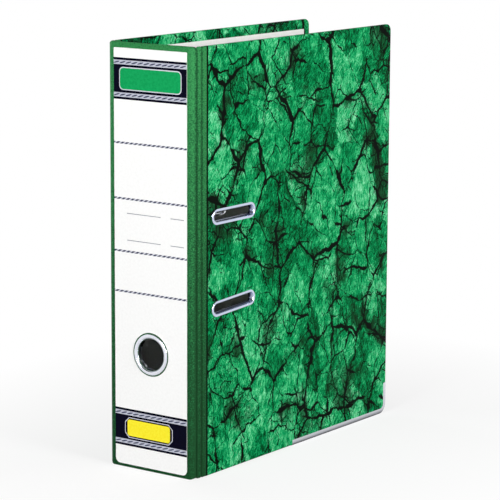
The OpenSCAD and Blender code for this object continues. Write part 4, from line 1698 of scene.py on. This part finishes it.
    def lever(self) -> None:
        """Builds the pressed lever, its pins and its roller."""
        u, v, t = self.lever_u, self.lever_v, self.lever_t
        low, end_r, half = v + self.ear.bore + self.handle_gap, 2.8, self.cheek_w + t
        bend_u, end_u, wide_u = u - self.handle_u[0], u - self.handle_u[1], self.roller_u - end_r
        cheek = [
            *arc((u, v), (4.0, 4.0), -70, 90, 14),
            Vector((wide_u, low + t / 2)),
            Vector((wide_u, self.roller_v)),
            *arc((self.roller_u, self.roller_v), (end_r, end_r), 180, 290, 10),
        ]
        for name, w, nodes in (("upper", self.cheek_w, ["lever"]), ("lower", -half, [])):
            side = self.flat(f"{name}_lever_cheek", cheek, w, t)
            side.cut(self.drill(u, v, self.pin_hole)).cut(self.drill(self.roller_u, self.roller_v, self.axle_r))
            place(side.soften(0.2 * MM).done(), "lever", NICKEL, nodes)
        curl = self.handle_curl
        curve = arc((end_u, low + self.handle_rise + t - curl), (curl, curl), 20, -270, 24)
        grip = [Vector((wide_u, low)), Vector((bend_u, low)), *curve]
        grip += [Vector((bend_u, low + t)), Vector((wide_u, low + t))]
        handle = self.flat("lever_handle", grip, -self.handle_w, 2 * self.handle_w).soften(0.3 * MM)
        place(handle.done(), "lever", NICKEL)
        bridge = rounded_box(Vector((wide_u - 1.0, low)), Vector((u, low + t)), (0.0,) * 4)
        place(self.flat("lever_bridge", bridge, -half, 2 * half).soften(0.2 * MM).done(), "lever", NICKEL)

        spot = self.at(u, 0.0, v)
        section = self.pin(self.ear.w + self.ear.thick / 2, self.ear.bore, self.pin_head)
        self.spun("lever_pivot_pin", section, spot, UP, "back_cover", NICKEL, ["lever_pin"])
        spot = self.at(self.roller_u, 0.0, self.roller_v)
        section = self.pin(half, self.axle_r, self.axle_head)
        self.spun("roller_axle", section, spot, UP, "lever", NICKEL, ["roller_pin"])
        long, r, edge, bore = self.roller
        loop = [(-long, bore), (-long, r - edge), (edge - long, r), (long - edge, r), (long, r - edge), (long, bore)]
        self.spun("nylon_roller", loop, spot, UP, "roller", NYLON, ["lever_roller"], True)

    def compressor(self) -> None:
        """Builds the sliding bar with its beads and eyes, and its wire catch."""
        near, far, top = self.bar_u, self.bar_u + self.bar_wide, self.bar_v + self.bar_t
        low, high = Vector((near, -self.bar_half)), Vector((far, self.bar_half))
        bar = self.slab("pressing_bar", low, high, self.bar_r, self.bar_v, self.bar_t)
        for side in (-1, 1):
            hole = arc((self.span, side * self.ring_w), (self.bar_hole, self.bar_hole), 0, 360, 32)[:-1]
            bar.cut(Bench("bar_drill", [self.at(p.x, p.y, 0.0) for p in hole], -INWARD * (4 * top * MM)))
        place(bar.soften(0.3 * MM).done(), "compressor", NICKEL, ["compressor_bar"])
        for name, u in (("rear", near + self.bead_r), ("front", far - self.bead_r)):
            ends = [self.at(u, -self.bead_half, top), self.at(u, self.bead_half, top)]
            bead = Bench(f"{name}_bar_bead", ends).wired(self.bead_r * MM).soften(0.6 * MM, 3, sharp=60)
            place(bead.done(50), "compressor", NICKEL)
        u, v, bend = self.catch_u, self.catch_v, self.catch_bend * MM
        for name, side in SIDES:
            eye = self.lug(f"{name}_catch_eye", self.eye, side, u, v, self.bar_v + self.bar_t / 2)
            place(eye, "compressor", NICKEL)
        path = [(self.at(u, self.catch_end, v), 0.0), (self.at(u, self.catch_leg, v), bend)]
        path.append((self.at(self.catch_front, self.catch_leg, v), bend))
        place(self.wire("bent_catch_wire", path, self.catch_r, 0.3), "catch", NICKEL, ["compressor_catch"])


# Studio


@dataclass
class Studio:
    """White floor, soft lamps and the camera at the photograph's viewing angle."""

    # Camera's angles in degrees, distance, and shift across its view
    azimuth: float = -53.888
    elevation: float = 10.323
    roll: float = 0.274
    distance: float = 1995.4 * MM
    slide: tuple[float, float] = (-2.68 * MM, -10.68 * MM)
    target: Vector = field(default_factory=lambda: Vector((-0.65 * MM, 0.0, 175.0 * MM)))
    # Picture's width and focal length in pixels, and the sensor's width in millimetres
    frame_px: float = 500.0
    focal_px: float = 2342.0
    sensor: float = 36.0
    floor_half: float = 6.0
    # Light that the world adds all round
    ambient: float = 0.015
    # Name, place and size in metres, and power in watts of each lamp
    lamp_list: tuple[tuple[str, tuple[float, float, float], float, float], ...] = (
        ("key_lamp", (-2.4, -0.2, 0.8), 0.8, 52.0),
        ("cover_lamp", (-0.25, -2.35, 0.85), 0.7, 61.0),
        ("top_lamp", (-0.9, -0.9, 2.4), 1.2, 0.6),
        ("back_lamp", (0.3, 2.45, 0.4), 0.7, 36.0),
    )

    def build(self) -> None:
        """Sets up the floor, the lamps, the world and the camera."""
        bpy.context.scene.view_settings.view_transform = "Standard"
        self.floor()
        self.lamps()
        self.world()
        self.camera()

    def floor(self) -> None:
        """Lays a white floor that keeps a soft shadow near the object."""
        clear_bench()
        bpy.ops.mesh.primitive_plane_add(size=2 * self.floor_half)
        floor = bpy.context.object
        floor.name = "studio_floor"
        material = bpy.data.materials.new("white_studio_floor")
        material.use_nodes = True
        tree = material.node_tree
        tree.nodes.clear()
        rays = add(tree, "LightPath").node.outputs
        # Distance from the edges of the object's footprint
        spot = add(tree, "VectorMath", {0: add(tree, "TexCoord", out="Object")}, operation="ABSOLUTE")
        edges = (CAD_BOX[1].x, CAD_BOX[1].y, 0.0)
        outside = add(tree, "VectorMath", {0: spot, 1: edges}, operation="SUBTRACT")
        sides = add(tree, "SeparateXYZ", {0: outside}).node.outputs
        away = add(tree, "Math", {0: sides["X"], 1: sides["Y"]}, operation="MAXIMUM")
        seen = rays["Is Camera Ray"]
        # Near the object the floor is partly blank, so that its shadow shows, and further off wholly so
        shaded = {"From Min": 0.0, "From Max": 0.3, "To Min": 0.78, "To Max": 1.0}
        blank = add(tree, "Math", {0: seen, 1: add(tree, "MapRange", {"Value": away, **shaded})}, operation="MULTIPLY")
        shown = add(tree, "Math", {0: rays["Is Glossy Ray"], 1: rays["Is Transmission Ray"]}, operation="MAXIMUM")
        # Metal mirrors a painted contact shadow, a dark line where the object stands on the floor, and painted shade
        # on the floor that pales away from it
        line = {"From Min": 1 * MM, "From Max": 6 * MM, "To Min": 0.12, "To Max": 1.0}
        pale = add(tree, "MapRange", {"Value": away, "From Min": 0.0, "From Max": 0.5})
        pale = add(tree, "Math", {0: pale, 1: 0.1}, operation="POWER")
        for share in (add(tree, "MapRange", {"Value": away, **line}), pale):
            shown = add(tree, "Math", {0: shown, 1: share}, operation="MULTIPLY")
        blank = add(tree, "Math", {0: blank, 1: shown}, operation="MAXIMUM")
        # Seen from the object the floor is a dull cloth, so that little light is thrown up into the case
        cover = {0: seen, 6: linear("#6E6E6E"), 7: linear("#F7F7F7")}
        paint = add(tree, "BsdfDiffuse", {"Color": add(tree, "Mix", cover, out=2, data_type="RGBA")})
        glow = add(tree, "Emission", {"Color": (1.0, 1.0, 1.0, 1.0), "Strength": 1.0})
        add(tree, "OutputMaterial", {"Surface": add(tree, "MixShader", {0: blank, 1: paint, 2: glow})})
        floor.data.materials.append(material)

    def lamps(self) -> None:
        """Hangs soft lamps round the object and above it."""
        for name, spot, size, power in self.lamp_list:
            light = bpy.data.lights.new(name, "AREA")
            light.size, light.energy = size, power
            lamp = bpy.data.objects.new(name, light)
            lamp.location = spot
            lamp.rotation_euler = (Vector(spot) - self.target).to_track_quat("Z", "Y").to_euler()
            bpy.context.collection.objects.link(lamp)

    def world(self) -> None:
        """Makes a world that looks white, darkens overhead in reflections and lights the object softly."""
        world = bpy.data.worlds.new("white_studio_world")
        world.use_nodes = True
        tree = world.node_tree
        tree.nodes.clear()
        rays = add(tree, "LightPath").node.outputs
        height = add(tree, "SeparateXYZ", {0: add(tree, "TexCoord", out="Generated")}, out="Z")
        limits = {"From Min": 0.58, "From Max": 0.72, "To Min": 1.0, "To Max": 0.06}
        mirrored_sky = add(tree, "MapRange", {"Value": height, **limits})
        mirrored_sky = add(tree, "Math", {0: mirrored_sky, 1: rays["Is Glossy Ray"]}, operation="MULTIPLY")
        level = add(tree, "Math", {0: rays["Is Camera Ray"], 1: rays["Is Transmission Ray"]}, operation="MAXIMUM")
        level = add(tree, "Math", {0: level, 1: mirrored_sky}, operation="MAXIMUM")
        level = add(tree, "Math", {0: level, 1: self.ambient}, operation="MAXIMUM")
        light = add(tree, "Background", {"Color": (1.0, 1.0, 1.0, 1.0), "Strength": level})
        add(tree, "OutputWorld", {"Surface": light})
        bpy.context.scene.world = world

    def camera(self) -> None:
        """Puts the camera where the photograph was taken from."""
        a, e, r = (math.radians(v) for v in (self.azimuth, self.elevation, self.roll))
        back = Vector((math.sin(a) * math.cos(e), -math.cos(a) * math.cos(e), math.sin(e)))
        level = Vector((math.cos(a), math.sin(a), 0.0))
        upright_axis = back.cross(level)
        right = level * math.cos(r) + upright_axis * math.sin(r)
        up = upright_axis * math.cos(r) - level * math.sin(r)
        spot = self.target + back * self.distance + right * self.slide[0] + up * self.slide[1]
        data = bpy.data.cameras.new("photo_camera")
        data.sensor_width = self.sensor
        data.lens = self.focal_px / self.frame_px * self.sensor
        camera = bpy.data.objects.new("photo_camera", data)
        camera.matrix_world = Matrix.Translation(spot) @ Matrix((right, up, back)).transposed().to_4x4()
        bpy.context.collection.objects.link(camera)
        bpy.context.scene.camera = camera


def dress_spine_lining() -> None:
    """Gives the spine's lining, which stays as built, its paper."""
    dress(frame["nodes"]["spine_lining"], LINING)
    LOG.info("spine_lining stays as built, in %s", LINING.name)


def write_sizes() -> None:
    """Updates the scene's view layer."""
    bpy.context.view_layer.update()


def main() -> None:
    """Builds and dresses the file, piece by piece, then sets up the studio."""
    logging.basicConfig(level=logging.INFO, format="%(message)s")
    case, eyelets, ring = Case(), SlotEyelets(), FingerRing()
    ClothSpine(case, ring).build()
    MarbledCovers(case, eyelets).build()
    eyelets.build()
    EdgeShoes(case).build()
    ring.build()
    SpineLabel().build(ring)
    Mechanism().build()
    dress_spine_lining()
    Studio().build()
    write_sizes()


if __name__ == "__main__":
    main()
